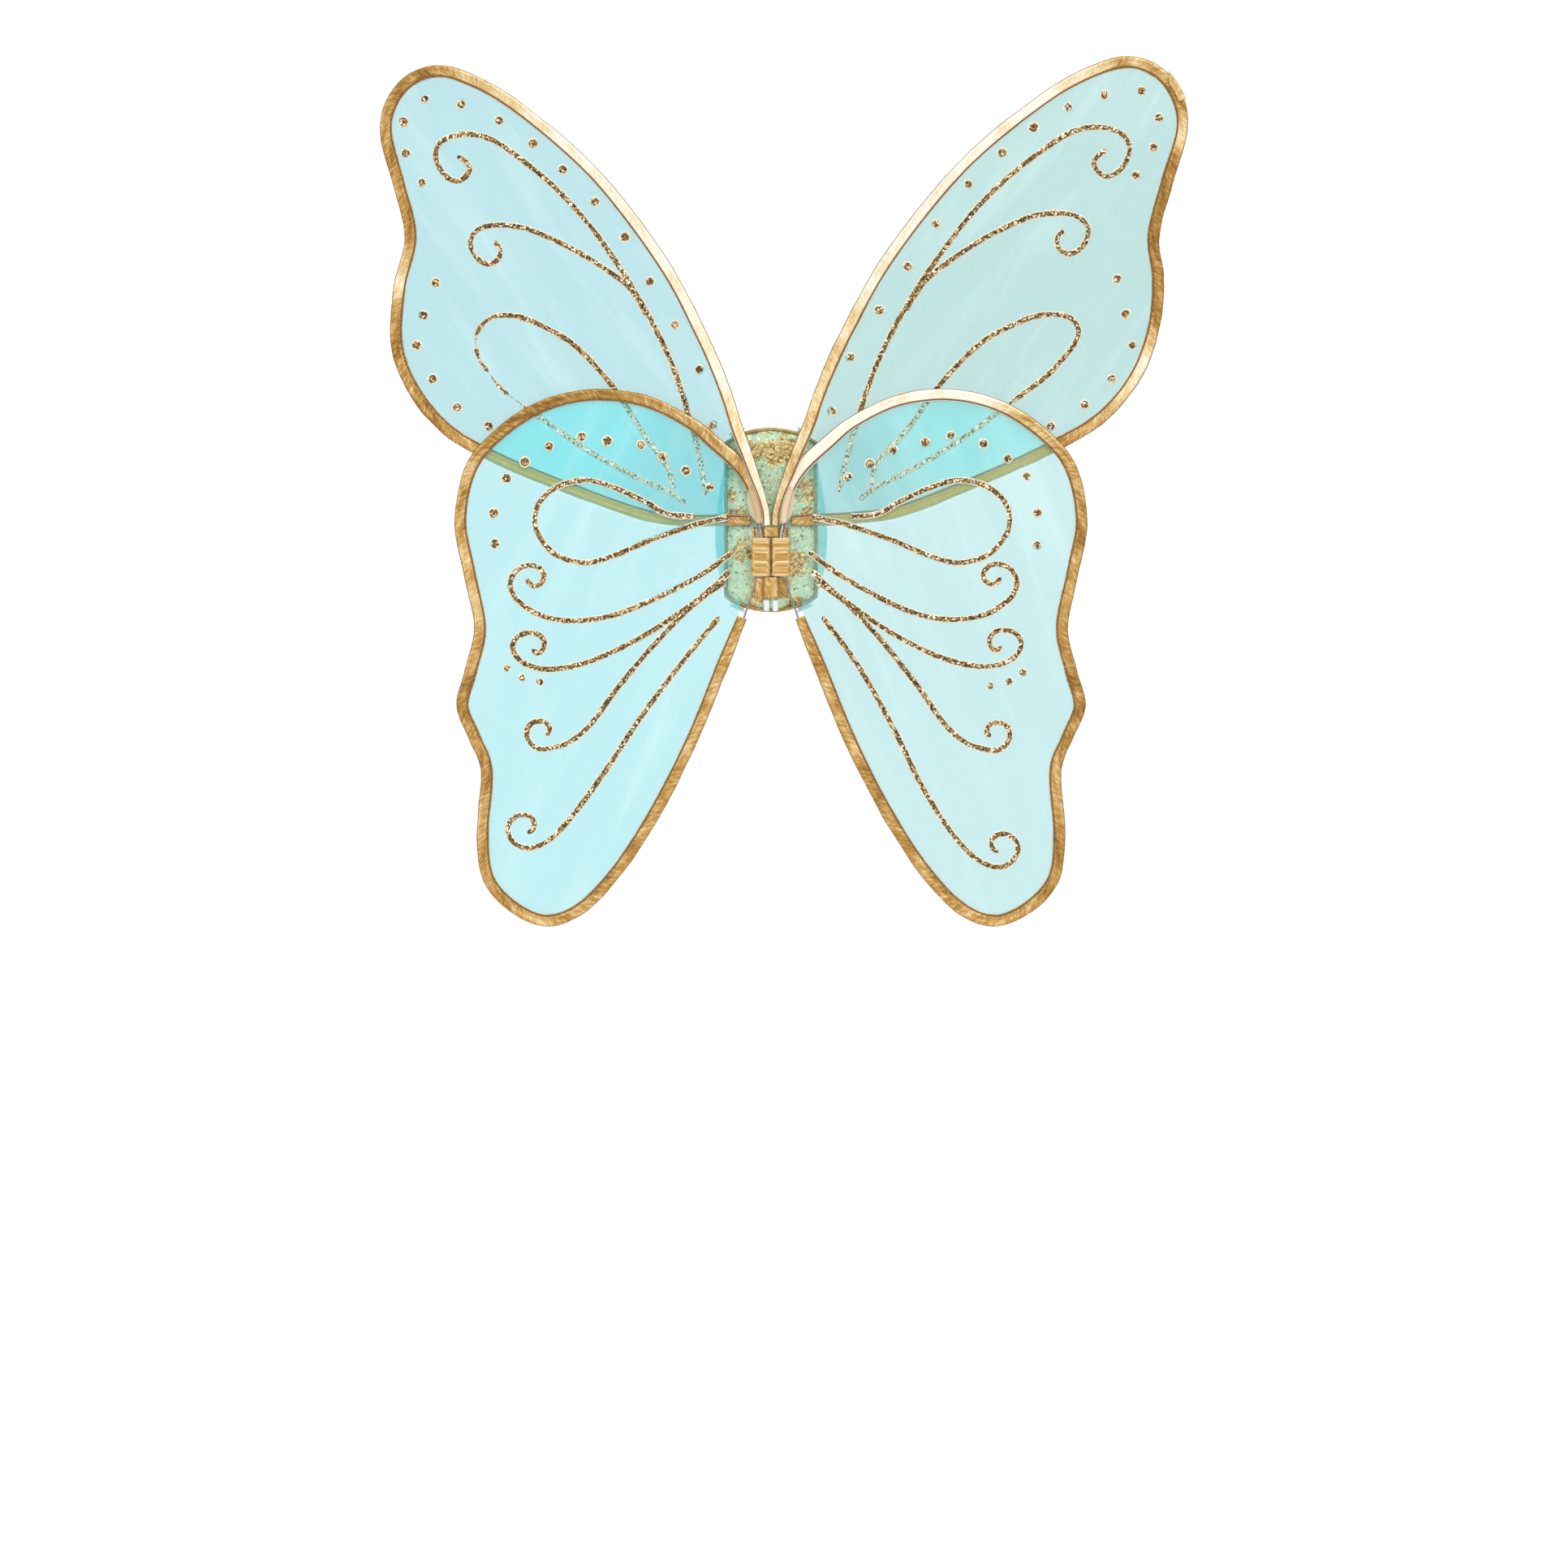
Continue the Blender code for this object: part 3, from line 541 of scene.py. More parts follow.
def organza_paint(name, dye, solid, slope, covered=True):
    """Sheer organza: fine crisp threads with soft, broad sheen streaks along the pull of the frame, painted
    into its colour as highlights.

    solid is how much of what is behind a fully tinting cloth hides, which its "cover" attribute scales.
    """
    paint = Paint(name, specular_ior_level=0.4, sheen_weight=0.08, sheen_roughness=0.4)
    at = paint.places()
    broad = paint.noise(at, (30, 10, 4.5), (0, slope, 0), detail=3.0, distortion=0.35)
    wisps = paint.noise(at, (75, 20, 9), (0, slope * 0.8, 0), distortion=0.6)
    cloudy = paint.noise(at, 9, detail=3.0)
    weave = paint.math("MAXIMUM", paint.wave(at, (420, 0, 0), 0.4), paint.wave(at, (0, 0, 420), 0.4, "Z"))
    slubs = paint.noise(at, (1400, 40, 60), detail=1.0)
    # Painted sheen: broad streaks, clouds and wisps lighten the dye towards a paler cyan.
    shine = paint.add(paint.ranged(broad, -0.35, 0.85, 0.35, 0.7), paint.spread(cloudy, -0.15, 0.2),
                      paint.ranged(wisps, -0.2, 0.4, 0.45, 0.75))
    red, green, blue = (0.72 + 0.28 * value for value in dye[:3])
    colour = paint.mix(paint.times(shine, 0.34, clamp=True), dye, (red * 0.7, green, blue, 1))
    alpha = paint.add(solid, paint.ranged(weave, -0.02, 0.02), paint.spread(slubs, -0.012, 0.012),
                      paint.ranged(broad, -0.012, 0.02, 0.35, 0.75))
    if covered:
        # Painted glow: brighter cyan where this cloth lies behind the lower wing's.
        colour = paint.mix(paint.attribute("glow"), colour, PAINTED_GLOW_CYAN)
        alpha = paint.times(alpha, paint.attribute("cover"))
    return paint.finish(base_color=colour, alpha=alpha, roughness=paint.spread(cloudy, 0.36, 0.5),
                        bump=(weave, 0.06, 0.35))


def flakes(paint, size, lean):
    """A shading normal that tips a different way on each flake, and the flakes' random values."""
    colour = paint.cells(paint.places(), 1 / size)["Color"]
    tip = paint.node("VectorMath", {0: colour, 1: (0.5, 0.5, 0.5)}, operation="SUBTRACT").outputs[0]
    tip = paint.node("VectorMath", {0: tip, "Scale": lean}, operation="SCALE").outputs[0]
    face = paint.node("NewGeometry").outputs["Normal"]
    tip = paint.node("VectorMath", {0: tip, 1: face}, operation="ADD").outputs[0]
    normal = paint.node("VectorMath", {0: tip}, operation="NORMALIZE").outputs[0]
    return normal, paint.node("SeparateColor", {"Color": colour}).outputs


def glitter_line_paint(name):
    """Glitter set in glue: dark, bronze and bright flakes on top, and a thin pale skirt of glue.

    Where another cloth lies in front of it, a painted highlight makes only the bright flakes count.
    """
    paint = Paint(name)
    normal, pick = flakes(paint, 1.15 * MM, 0.9)
    bronze = paint.ramp(pick[0], (0.0, srgb(62, 42, 18)), (0.2, srgb(104, 76, 34)),
                        (0.45, srgb(146, 112, 58)), (0.7, srgb(208, 180, 128)), (0.86, srgb(252, 240, 214)),
                        hard=True)
    bright = paint.ramp(pick[0], (0.0, srgb(96, 66, 20)), (0.22, srgb(240, 190, 110)),
                        (0.45, srgb(255, 236, 196)), (0.6, srgb(255, 255, 236)), hard=True)
    # Painted highlight: behind the lower wing's cloth all flakes take the bright colours.
    colour = paint.mix(paint.attribute("behind_cloth_painted_light"), bronze, bright)
    grit = paint.attribute("grit")
    return paint.finish(base_color=paint.mix(grit, srgb(246, 240, 216), colour),
                        metallic=paint.times(grit, 0.35), roughness=paint.ranged(pick[1], 0.25, 0.55),
                        normal=normal)


# Where the pad's cover is crushed to gold, as (X, Z, reach).
GOLD_PATCHES = ((-31, 17, 6), (-26, 2, 9), (9, 54, 15), (26, 20, 11), (28, 6, 6), (-12, 50, 8), (-20, -22, 9),
                (18, -34, 10), (-12, -56, 10), (20, -60, 8))


def glitter_fabric_paint(name):
    """The pad's cover: sage-green glitter cloth with patches of crinkled gold flakes."""
    paint = Paint(name)
    at = paint.places()
    normal, pick = flakes(paint, 1.3 * MM, 0.7)
    crush = paint.noise(at, (330, 330, 520), (0, math.radians(30), 0), roughness=0.6, distortion=0.8)
    ragged = paint.noise(at, (120, 60, 120), detail=3.0, roughness=0.6, distortion=0.4)
    share = 0.0
    for x, z, reach in GOLD_PATCHES:
        middle = (x * MM, PAD_FRONT * MM, z * MM)
        gap = paint.node("VectorMath", {0: at, 1: middle}, operation="DISTANCE").outputs["Value"]
        near = paint.ranged(gap, 1.0, 0.0, 0.35 * reach * MM, 1.25 * reach * MM)
        share = paint.math("MAXIMUM", share, near)
    share = paint.ranged(paint.add(share, paint.spread(ragged, -0.75, 0.75)), 0.0, 1.0, 0.3, 0.62)
    gold = paint.ramp(crush, (0.30, srgb(98, 70, 30)), (0.42, srgb(170, 138, 76)),
                      (0.56, srgb(216, 192, 128)), (0.70, srgb(250, 240, 200)))
    sage = paint.ramp(pick[0], (0.0, srgb(132, 156, 118)), (0.06, srgb(186, 216, 184)),
                      (0.55, srgb(200, 228, 190)), (0.93, srgb(230, 226, 184)), hard=True)
    return paint.finish(base_color=paint.mix(share, sage, gold), metallic=paint.ranged(share, 0.1, 0.35),
                        roughness=paint.ranged(pick[1], 0.35, 0.6), normal=normal)


def lining_paint(name):
    """Brushed aqua lining with a plain weave."""
    paint = Paint(name, sheen_weight=0.35, specular_ior_level=0.3)
    at = paint.places()
    weave = paint.times(paint.wave(at, (190, 0, 0), 0.6), paint.wave(at, (0, 0, 190), 0.6, "Z"))
    pile = paint.noise(at, 900)
    worn = paint.noise(at, 40, detail=3.0)
    shade = paint.add(paint.ranged(weave, 0.0, 0.5), paint.spread(worn, 0.0, 0.5))
    return paint.finish(base_color=paint.mix(shade, srgb(120, 196, 190), srgb(172, 226, 218)),
                        roughness=paint.ranged(pile, 0.7, 0.9),
                        bump=(paint.add(weave, paint.times(pile, 0.4)), 0.15, 0.8))


def elastic_paint(name, colour, light):
    """Woven elastic: ribs along its length, crossed by fine weft."""
    paint = Paint(name, sheen_weight=0.2, specular_ior_level=0.35)
    run = paint.run()
    ribs = paint.wave(run, (0, 200, 0), 0.0, "Y")
    weft = paint.wave(run, (330, 0, 0), 0.8)
    fuzz = paint.noise(paint.places(), 1500)
    shade = paint.add(paint.ranged(ribs, 0.0, 0.55), paint.ranged(weft, 0.0, 0.35))
    return paint.finish(base_color=paint.mix(shade, colour, light), roughness=paint.ranged(fuzz, 0.62, 0.85),
                        bump=(paint.add(ribs, paint.times(weft, 0.5)), 0.2, 0.8))


def plain_paint(name, scale, dark, light, roughness, bump, pores=False, **sockets):
    """A material whose colour, roughness and relief all follow one fine grain, or pores."""
    paint = Paint(name, **sockets)
    at = paint.places()
    grain = paint.cells(at, scale)["Distance"] if pores else paint.noise(at, scale, detail=3.0)
    return paint.finish(base_color=paint.mix(grain, srgb(*dark), srgb(*light)),
                        roughness=paint.ranged(grain, *roughness), bump=(grain, *bump))


# ---------------------------------------------------------------- studio


def set_camera():
    camera = bpy.data.cameras.new("camera")
    camera.sensor_width = SENSOR
    camera.lens = SENSOR * CAMERA_DISTANCE / IMAGE_WIDTH
    camera.clip_end = 50.0
    obj = bpy.data.objects.new("camera", camera)
    x, y, z = VIEW_CENTRE
    obj.location = Vector((x, y - CAMERA_DISTANCE, z)) * MM
    obj.rotation_euler = (math.pi / 2, 0, 0)
    bpy.context.scene.collection.objects.link(obj)
    bpy.context.scene.camera = obj


def area_light(name, place, size, power):
    """A round lamp, placed in metres, that faces the wings."""
    light = bpy.data.lights.new(name, "AREA")
    light.shape = "DISK"
    light.size = size
    light.energy = power
    obj = bpy.data.objects.new(name, light)
    obj.location = place
    obj.rotation_euler = (Vector((0.0, 0.0, 0.05)) - Vector(place)).to_track_quat("-Z", "Y").to_euler()
    bpy.context.scene.collection.objects.link(obj)


def set_studio():
    """A white sweep: rays from the lens see plain white, and the light itself falls off downwards."""
    world = bpy.data.worlds.new("studio")
    bpy.context.scene.world = world
    world.use_nodes = True
    nodes = Nodes(world.node_tree)
    up = nodes.node("SeparateXYZ", {0: nodes.node("TexCoord").outputs["Generated"]}).outputs["Z"]
    soft = world.node_tree.nodes["Background"]
    nodes.wire(soft.inputs["Color"], WHITE)
    nodes.wire(soft.inputs["Strength"], nodes.ranged(up, 0.45, 1.15, -0.8, 0.9))
    white = nodes.node("Background", {"Color": WHITE, "Strength": 1.02})
    seen = nodes.node("LightPath").outputs["Is Camera Ray"]
    mixed = nodes.node("MixShader", {0: seen, 1: soft.outputs[0], 2: white.outputs[0]}).outputs[0]
    nodes.wire(world.node_tree.nodes["World Output"].inputs["Surface"], mixed)
    area_light("key", (1.4, -3.2, 2.6), 1.6, 55)
    area_light("fill", (-2.6, -2.6, 0.6), 1.4, 18)
    area_light("back", (0.6, 3.0, 2.2), 1.6, 30)
    bpy.context.scene.view_settings.view_transform = "Standard"


def make_floor():
    angles = np.linspace(0, 2 * math.pi, 96, endpoint=False)
    rim = [(FLOOR_RADIUS * math.cos(a), FLOOR_RADIUS * math.sin(a), FLOOR_UP) for a in angles]
    paint = Paint("floor", roughness=0.9, specular_ior_level=0.1)
    mottle = paint.noise(paint.places(), 6, detail=3.0)
    paper = paint.finish(base_color=paint.mix(mottle, srgb(248, 248, 248), srgb(252, 252, 252)))
    new_object("floor", rim, [tuple(range(len(rim)))], paper)


# ---------------------------------------------------------------- wings


class Wing:
    """One wing: its edge, where its cloth lies, and the body that it rides on."""

    CLOTH_SPACING = 4.0
    # The cloth's folds grow over EDGE_REACH from its held edge. Heights of its relief:
    EDGE_REACH = 26.0
    FOLD, FINE_FOLD, SAG, PUCKER = 0.85, 0.4675, 0.45, 0.22

    def __init__(self, word, level):
        self.word, self.name = word, f"{word}_{level}"
        self.side = SIDES[word]
        self.body = f"{word}_wings"
        self.upper = level == "upper"
        self.layer = UPPER_Y if self.upper else LOWER_Y
        self.edge = posed(UPPER_EDGE, *UPPER_POSE[self.side]) if self.upper else LOWER_EDGE
        self.rows, self.along = smooth_rows(self.edge, 1.0)
        self.across = inward(self.rows)
        self.seed = 11 + 5 * self.side + (2 if self.upper else 0)
        self.outline = self.cloth_outline()
        self.raised = self.outline[np.abs(self.outline[:, 2] - self.layer) > 0.02]
        self.behind = []  # (rows, half width) of the tape and glitter that this wing's cloth lies over

    def world(self, outward, y, up):
        return np.stack(np.broadcast_arrays(self.side * np.asarray(outward), y, up), axis=-1)

    def cloth_outline(self):
        """The cloth's edge inside the tape, as (outward, up, Y), closed near the root."""
        rows, _ = smooth_rows(self.edge, EDGE_SPACING)
        edge = np.column_stack([rows[:, :2] + inward(rows) * (rows[:, 3:4] - MEMBRANE_TUCK), rows[:, 2]])
        if self.upper:
            start_up, end_out, trim = 50, 34, [(36, 12), (30, 30)]
            last = len(rows) - int(np.argmax(rows[::-1, 0] > end_out))
        else:
            start_up, last, trim = 8, len(rows) - 1, [(19, -40), (13, -12)]
        first = int(np.argmax(rows[:, 1] > start_up))
        return np.vstack([edge[first:last], [(*point, self.layer) for point in trim]])

    def lay(self, outward, up):
        """Y of the cloth: stretched between its edges, with soft folds that run out from the root."""
        outward, up = np.broadcast_arrays(np.asarray(outward, float), np.asarray(up, float))
        points = np.column_stack([outward.ravel(), up.ravel()])
        reach, index = nearest(points, self.outline[:, :2])
        radius = np.hypot(points[:, 0], points[:, 1])
        bearing = np.arctan2(points[:, 1], points[:, 0])
        relief = self.FOLD * wander(bearing * 5.5, radius / 150, seed=self.seed)
        relief += self.FINE_FOLD * wander(bearing * 14, radius / 90, seed=self.seed + 1)
        relief += self.SAG * wander(points[:, 0] / 60, points[:, 1] / 60, seed=self.seed + 2)
        pucker = self.PUCKER * wander(index * EDGE_SPACING / 7.0, seed=self.seed + 3)
        pucker *= np.exp(-((reach - 5) / 5) ** 2) * ease(reach / 3)
        y = self.layer + ease((reach - 1) / self.EDGE_REACH) * relief + pucker
        if len(self.raised):
            away, which = nearest(points, self.raised[:, :2])
            level = self.raised[which, 2]
            room = -depth_in_lower(points)
            share = np.where(room <= 0, 1.0, (away - 1.5) / np.maximum(away - 1.5 + room, 1e-6))
            share = np.where(room > 30, ease((away - 2) / 20), ease(share))
            y = level + (y - level) * share
        return y.reshape(outward.shape)

    def behind_lower(self, points):
        """From 0 to 1: how much of each place of an upper wing lies behind the lower wing's cloth."""
        clear_of_pad = ease((np.abs(points[:, 0]) - PAD_WIDTH / 2) / 6)
        return ease((depth_in_lower(points) - 7) / 3) * clear_of_pad * self.upper

    def cover(self, points):
        """How strongly the cloth tints what is behind each place: less where it lies on the pad, or on tape
        and glitter that shine through it."""
        pad, _ = pad_outline(0)
        cover = 1 - PAD_SHOW * ease(depth_inside(pad, points * (self.side, 1)) / 3.0)
        for rows, width in self.behind:
            gap, _ = nearest(points, rows)
            cover = cover * (1 - THROUGH_SHOW * (1 - ease((gap - width + 1.5) / 3.0)))
        return cover


def depth_in_lower(points):
    """How far each point lies inside the lower wing's edge, negative outside it."""
    rows, _ = smooth_rows(LOWER_EDGE, EDGE_SPACING)
    return depth_inside(rows[:, :2], points)


def make_membrane(wing, material):
    """The wing's cloth, as one thin layer of triangles."""
    outline = wing.outline[:, :2]
    low, high = outline.min(0), outline.max(0)
    step = wing.CLOTH_SPACING
    columns, lines = np.meshgrid(np.arange(low[0], high[0], step), np.arange(low[1], high[1], step * 0.866))
    columns = columns + (np.arange(len(columns)) % 2)[:, None] * step / 2
    grid = np.column_stack([columns.ravel(), lines.ravel()])
    grid = grid[inside(outline, grid)]
    grid = grid[nearest(grid, outline)[0] > step * 0.5]
    count = len(outline)
    flat = [Vector(point) for point in np.vstack([outline, grid])]
    edges = [(k, (k + 1) % count) for k in range(count)]
    verts, _, faces, *_ = geometry.delaunay_2d_cdt(flat, edges, [list(range(count))], 1, 1e-5)
    places = np.array([tuple(v) for v in verts])
    distance, index = nearest(places, outline)
    y = np.where(distance < 0.01, wing.outline[index, 2], wing.lay(places[:, 0], places[:, 1]))
    points = wing.world(places[:, 0], y, places[:, 1])
    obj = new_object(f"{wing.name}_organza", points, [tuple(f) for f in faces], material)
    write_attribute(obj, "cover", wing.cover(places))
    radius = np.hypot(places[:, 0], places[:, 1])
    # Painted glow where this upper cloth lies behind the lower wing's.
    write_attribute(obj, "glow", wing.behind_lower(places) * ease((radius - GLOW_FROM) / GLOW_RISE))
    dress(obj, wing.body, f"{wing.name}_membrane")


# The folded tape's half section, from the inner edge to the outer one: share of the width, half thickness.
TAPE_SECTION = (
    (1.0, 0.60), (0.95, 0.78), (0.905, 0.66), (0.86, 0.68), (0.80, 0.92), (0.70, 1.0), (0.60, 1.0),
    (0.50, 1.03), (0.41, 1.12), (0.33, 1.28), (0.25, 1.42), (0.17, 1.40), (0.10, 1.2), (0.045, 0.85),
    (0.012, 0.42),
)
STITCH_SHARE = 0.885


def tape_surface(wing):
    """Outward, y and up of each ring's section points, and how far round and across the tape each lies."""
    front = np.array(TAPE_SECTION)
    share = np.concatenate([front[:, 0], [0.0], front[::-1, 0]])
    half = np.concatenate([front[:, 1], [0.0], -front[::-1, 1]])
    w = np.concatenate([[0], np.cumsum(np.hypot(np.diff(share * TAPE_WIDTH), np.diff(half)))])
    slope = np.array([np.gradient(half), -np.gradient(share * TAPE_WIDTH)])
    normal = slope / np.hypot(*slope)
    normal = np.where(half * normal[1] < 0, -normal, normal)
    normal[:, len(front)] = -1.0, 0.0
    along = wing.along
    s = along[:, None]
    crease = 1 - 2 * np.abs(wander((s + w) / 3.6, (s - w) / 9, seed=wing.seed + 20))
    dents = wander(s / 5.5, w / 4.5, seed=wing.seed + 21)
    lumps = wander(s / 17, w / 12, seed=wing.seed + 22)
    lift = 0.05 * crease + 0.09 * dents + 0.13 * lumps
    scallop = 0.22 * wander(s / 14, seed=wing.seed + 23) + 0.06 * wander(s / 4, seed=wing.seed + 24)
    width = wing.rows[:, 3:4] - scallop * 0.5
    u = share * width + normal[0] * lift + (1 - share) ** 3 * scallop
    outward = wing.rows[:, 0:1] + wing.across[:, 0:1] * u
    up = wing.rows[:, 1:2] + wing.across[:, 1:2] * u
    return outward, wing.rows[:, 2:3] - (half + normal[1] * lift), up, w, share


def make_binding(wing, material):
    outward, y, up, around, across = tape_surface(wing)
    count, ring = outward.shape
    points = wing.world(outward, y, up)
    obj = new_object(f"{wing.name}_edge_tape", points, tube_faces(count, ring), material)
    # Painted highlight and shade: how pale the lame is along the edge, with a little noise.
    knots = np.array(PAINTED_EDGE_LIGHT[wing.name])
    pale = np.interp(wing.along / wing.along[-1], knots[:, 0], knots[:, 1])
    pale = pale + 0.14 * wander(wing.along / 14, seed=wing.seed + 25)
    write_attribute(obj, "pale", np.repeat(np.clip(pale, 0, 1), ring))
    write_attribute(obj, "across", np.tile(across, count))
    # The painted olive goes on the front half of the tape only.
    seen_in_front = np.arange(ring) < len(TAPE_SECTION)
    write_attribute(obj, "behind_cloth_painted_light", np.outer(wing.behind_lower(wing.rows[:, :2]), seen_in_front))
    write_run(obj, wing.along[:, None], around)
    dress(obj, wing.body, f"{wing.name}_binding")


# A stitch rises from the cloth at both ends: share of its length, lift and thickness, in radii.
STITCH_PROFILE = ((0.0, -0.5, 0.7), (0.14, 0.35, 1.0), (0.5, 0.75, 1.0), (0.86, 0.35, 1.0), (1.0, -0.5, 0.7))
STITCH_SIDES = 6


def stitch(start, end, radius, out):
    """One short thread. out is the way off the cloth."""
    start, end, out = np.array(start, float), np.array(end, float), np.array(out, float)
    wide = np.cross((end - start) / np.linalg.norm(end - start), out)
    angle = (2 * math.pi * np.arange(STITCH_SIDES) / STITCH_SIDES)[:, None]
    circle = wide * np.cos(angle) + out * np.sin(angle)
    rings = [start + (end - start) * share + out * radius * lift + radius * size * circle
             for share, lift, size in STITCH_PROFILE]
    return np.vstack(rings), tube_faces(len(STITCH_PROFILE), STITCH_SIDES)


# The loose end of the edge tape at the right wing's tip: from the tape's outer edge inwards, in millimetres.
TAPE_END_OUTER, TAPE_END_INNER, TAPE_END_HALF, TAPE_END_LENGTH = -0.9, 4.8, 0.35, 25


def make_tape_end(wing, material):
    """A tongue that laps over the outer half of the tape at the wing's tip."""
    start = int(np.argmax((wing.rows[:, 0] > 287) & (wing.rows[:, 1] < 331)))
    rows = wing.rows[start:start + TAPE_END_LENGTH]
    across = inward(rows)
    along = np.linspace(0, 1, len(rows))[:, None]
    wide = ease(along / 0.35) * 0.85 + 0.15
    place = np.array((0.0, 0.12, 0.5, 0.88, 1.0, 1.0, 0.88, 0.5, 0.12, 0.0))
    face = np.repeat((1, -1), 5)
    u = TAPE_END_OUTER + (TAPE_END_INNER - TAPE_END_OUTER) * place * wide
    lift = 1.55 + 1.1 * (1 - along) ** 2
    points = wing.world(rows[:, 0:1] + across[:, 0:1] * u, rows[:, 2:3] - lift - face * TAPE_END_HALF,
                        rows[:, 1:2] + across[:, 1:2] * u)
    obj = new_object(f"{wing.name}_tape_end", points, tube_faces(len(rows), len(place)), material)
    write_attribute(obj, "pale", 0.45)
    # Painted shade: a dark line along both long edges of the tongue.
    write_attribute(obj, "across", np.tile(np.where(place % 1 == 0, 0.0, 0.4), len(rows)))
    write_attribute(obj, "behind_cloth_painted_light", 0.0)
    write_run(obj, np.arange(len(rows))[:, None], place * TAPE_END_INNER)
    dress(obj, wing.body)


def make_tape_stitches(wing, material):
    """Both rows of stitching that hold the folded tape to the cloth."""
    pitch, length, radius, lift = 2.5, 2.3, 0.48, 0.72
    line = wing.rows[:, :2] + wing.across * (wing.rows[:, 3:4] * STITCH_SHARE)
    along = lengths(line)
    parts = []
    for face in (-1, 1):
        for start in np.arange(1.0, along[-1] - length, pitch):
            ends = []
            for at in (start, start + length):
                x, z, y = (np.interp(at, along, column) for column in (*line.T, wing.rows[:, 2]))
                ends.append((wing.side * x, y + face * lift, z))
            parts.append(stitch(*ends, radius, (0, face, 0)))
    dress(new_object(f"{wing.name}_tape_stitches", *joined(parts), material), wing.body)


# ---------------------------------------------------------------- glitter

# A glitter line is a bead of LINE_HALF each way. Its half section: share of the half width, height over the
# cloth, share of grit.
LINE_HALF = 2.45
LINE_SECTION = (
    (1.0, 0.0, 0), (0.97, 0.14, 0), (0.78, 0.2, 0.1), (0.66, 0.46, 1), (0.4, 0.62, 1), (0.14, 0.68, 1),
)
# A dot's profile, in the same way, from its foot behind the cloth to its crown.
GLITTER_BACK, DOT_CROWN, DOT_TURNS = 0.18, 0.82, 18
DOT_PROFILE = (
    (1.0, -GLITTER_BACK, 0), (1.0, 0.12, 0), (0.8, 0.2, 0.1), (0.7, 0.5, 1), (0.5, 0.72, 1), (0.28, 0.8, 1),
)
# Where the glitter has worn thin, as (outward, up, reach).
WORN = {"left_upper": ((216, 128, 17), (205, 106, 15), (191, 91, 12)), "right_upper": ((176, 80, 8),)}


def make_swirls(wing, swirls, material):
    """The wing's glitter lines: beads of glue that stand on the outer face and show through behind."""
    parts, grit, behind_cloth_painted_light = [], [], []
    section = np.array(LINE_SECTION)
    section = np.vstack([section, section[::-1] * (-1, 1, 1)])
    across, rise, rough = section.T
    for number, swirl in enumerate(swirls):
        rows, along = smooth_rows(swirl, 0.8)
        sideways = inward(rows)
        size = np.sqrt(np.clip(np.minimum(along, along[-1] - along) / 1.6, 0.04, 1))
        size = size * (1 + 0.1 * wander(along / 5, seed=wing.seed + number))
        worn = np.zeros(len(rows))
        for outward, up, reach in WORN.get(wing.name, ()):
            away = np.hypot(rows[:, 0] - outward, rows[:, 1] - up)
            worn = np.maximum(worn, np.exp(-((away / reach) ** 2)))
        size = size * np.clip(1 - worn * (0.75 + 0.8 * wander(along / 3.2, seed=wing.seed + 90)), 0.1, 1)
        size, s = size[:, None], along[:, None]
        u = across * LINE_HALF * size
        height = rise * size + rough * 0.22 * wander(s / 0.9, u / 0.8, seed=wing.seed + 31 + number)
        height = np.where(rise == 0, -GLITTER_BACK, height)
        u = u + np.sign(u) * 0.22 * wander(s / 1.3, np.sign(u) * 3.3, seed=wing.seed + 47 + number)
        base = wing.lay(rows[:, 0], rows[:, 1])[:, None]
        points = wing.world(rows[:, 0:1] + sideways[:, 0:1] * u, base - height,
                            rows[:, 1:2] + sideways[:, 1:2] * u)
        parts.append((points, tube_faces(len(rows), len(section))))
        grit.append(np.tile(rough, len(rows)))
        # Painted highlight on the glitter where the lower wing's cloth lies in front.
        behind_cloth_painted_light.append(np.repeat(wing.behind_lower(rows[:, :2]), len(section)))
    obj = new_object(f"{wing.name}_glitter_swirls", *joined(parts), material)
    write_attribute(obj, "grit", np.concatenate(grit))
    write_attribute(obj, "behind_cloth_painted_light", np.concatenate(behind_cloth_painted_light))
    dress(obj, wing.body)


def dot(wing, centre, radius, seed):
    """A round blob of glitter glue, closed behind the cloth: its points, faces and each point's grit."""
    turns, rings = DOT_TURNS, len(DOT_PROFILE)
    angles = np.arange(turns) * 2 * math.pi / turns
    wobble = 1 + 0.1 * wander(np.cos(angles) * 1.5 + 3, np.sin(angles) * 1.5 + 3, seed=seed)
    share, height, rough = np.array(DOT_PROFILE).T[:, :, None]
    x = centre[0] + radius * share * wobble * np.cos(angles)
    z = centre[1] + radius * share * wobble * np.sin(angles)
    level = float(wing.lay(*centre))
    y = level - height - rough * 0.25 * wander(x / 0.9, z / 0.9, seed=seed + 1)
    middle = wing.world(centre[0], [level - DOT_CROWN, level + GLITTER_BACK], centre[1])
    faces = grid_faces(rings, turns, around=True)
    last, top = (rings - 1) * turns, rings * turns
    for k in range(turns):
        after = (k + 1) % turns
        faces += [(last + k, last + after, top), (after, k, top + 1)]
    grit = np.append(np.repeat(rough.ravel(), turns), (1, 0))
    return np.vstack([wing.world(x, y, z).reshape(-1, 3), middle]), faces, grit


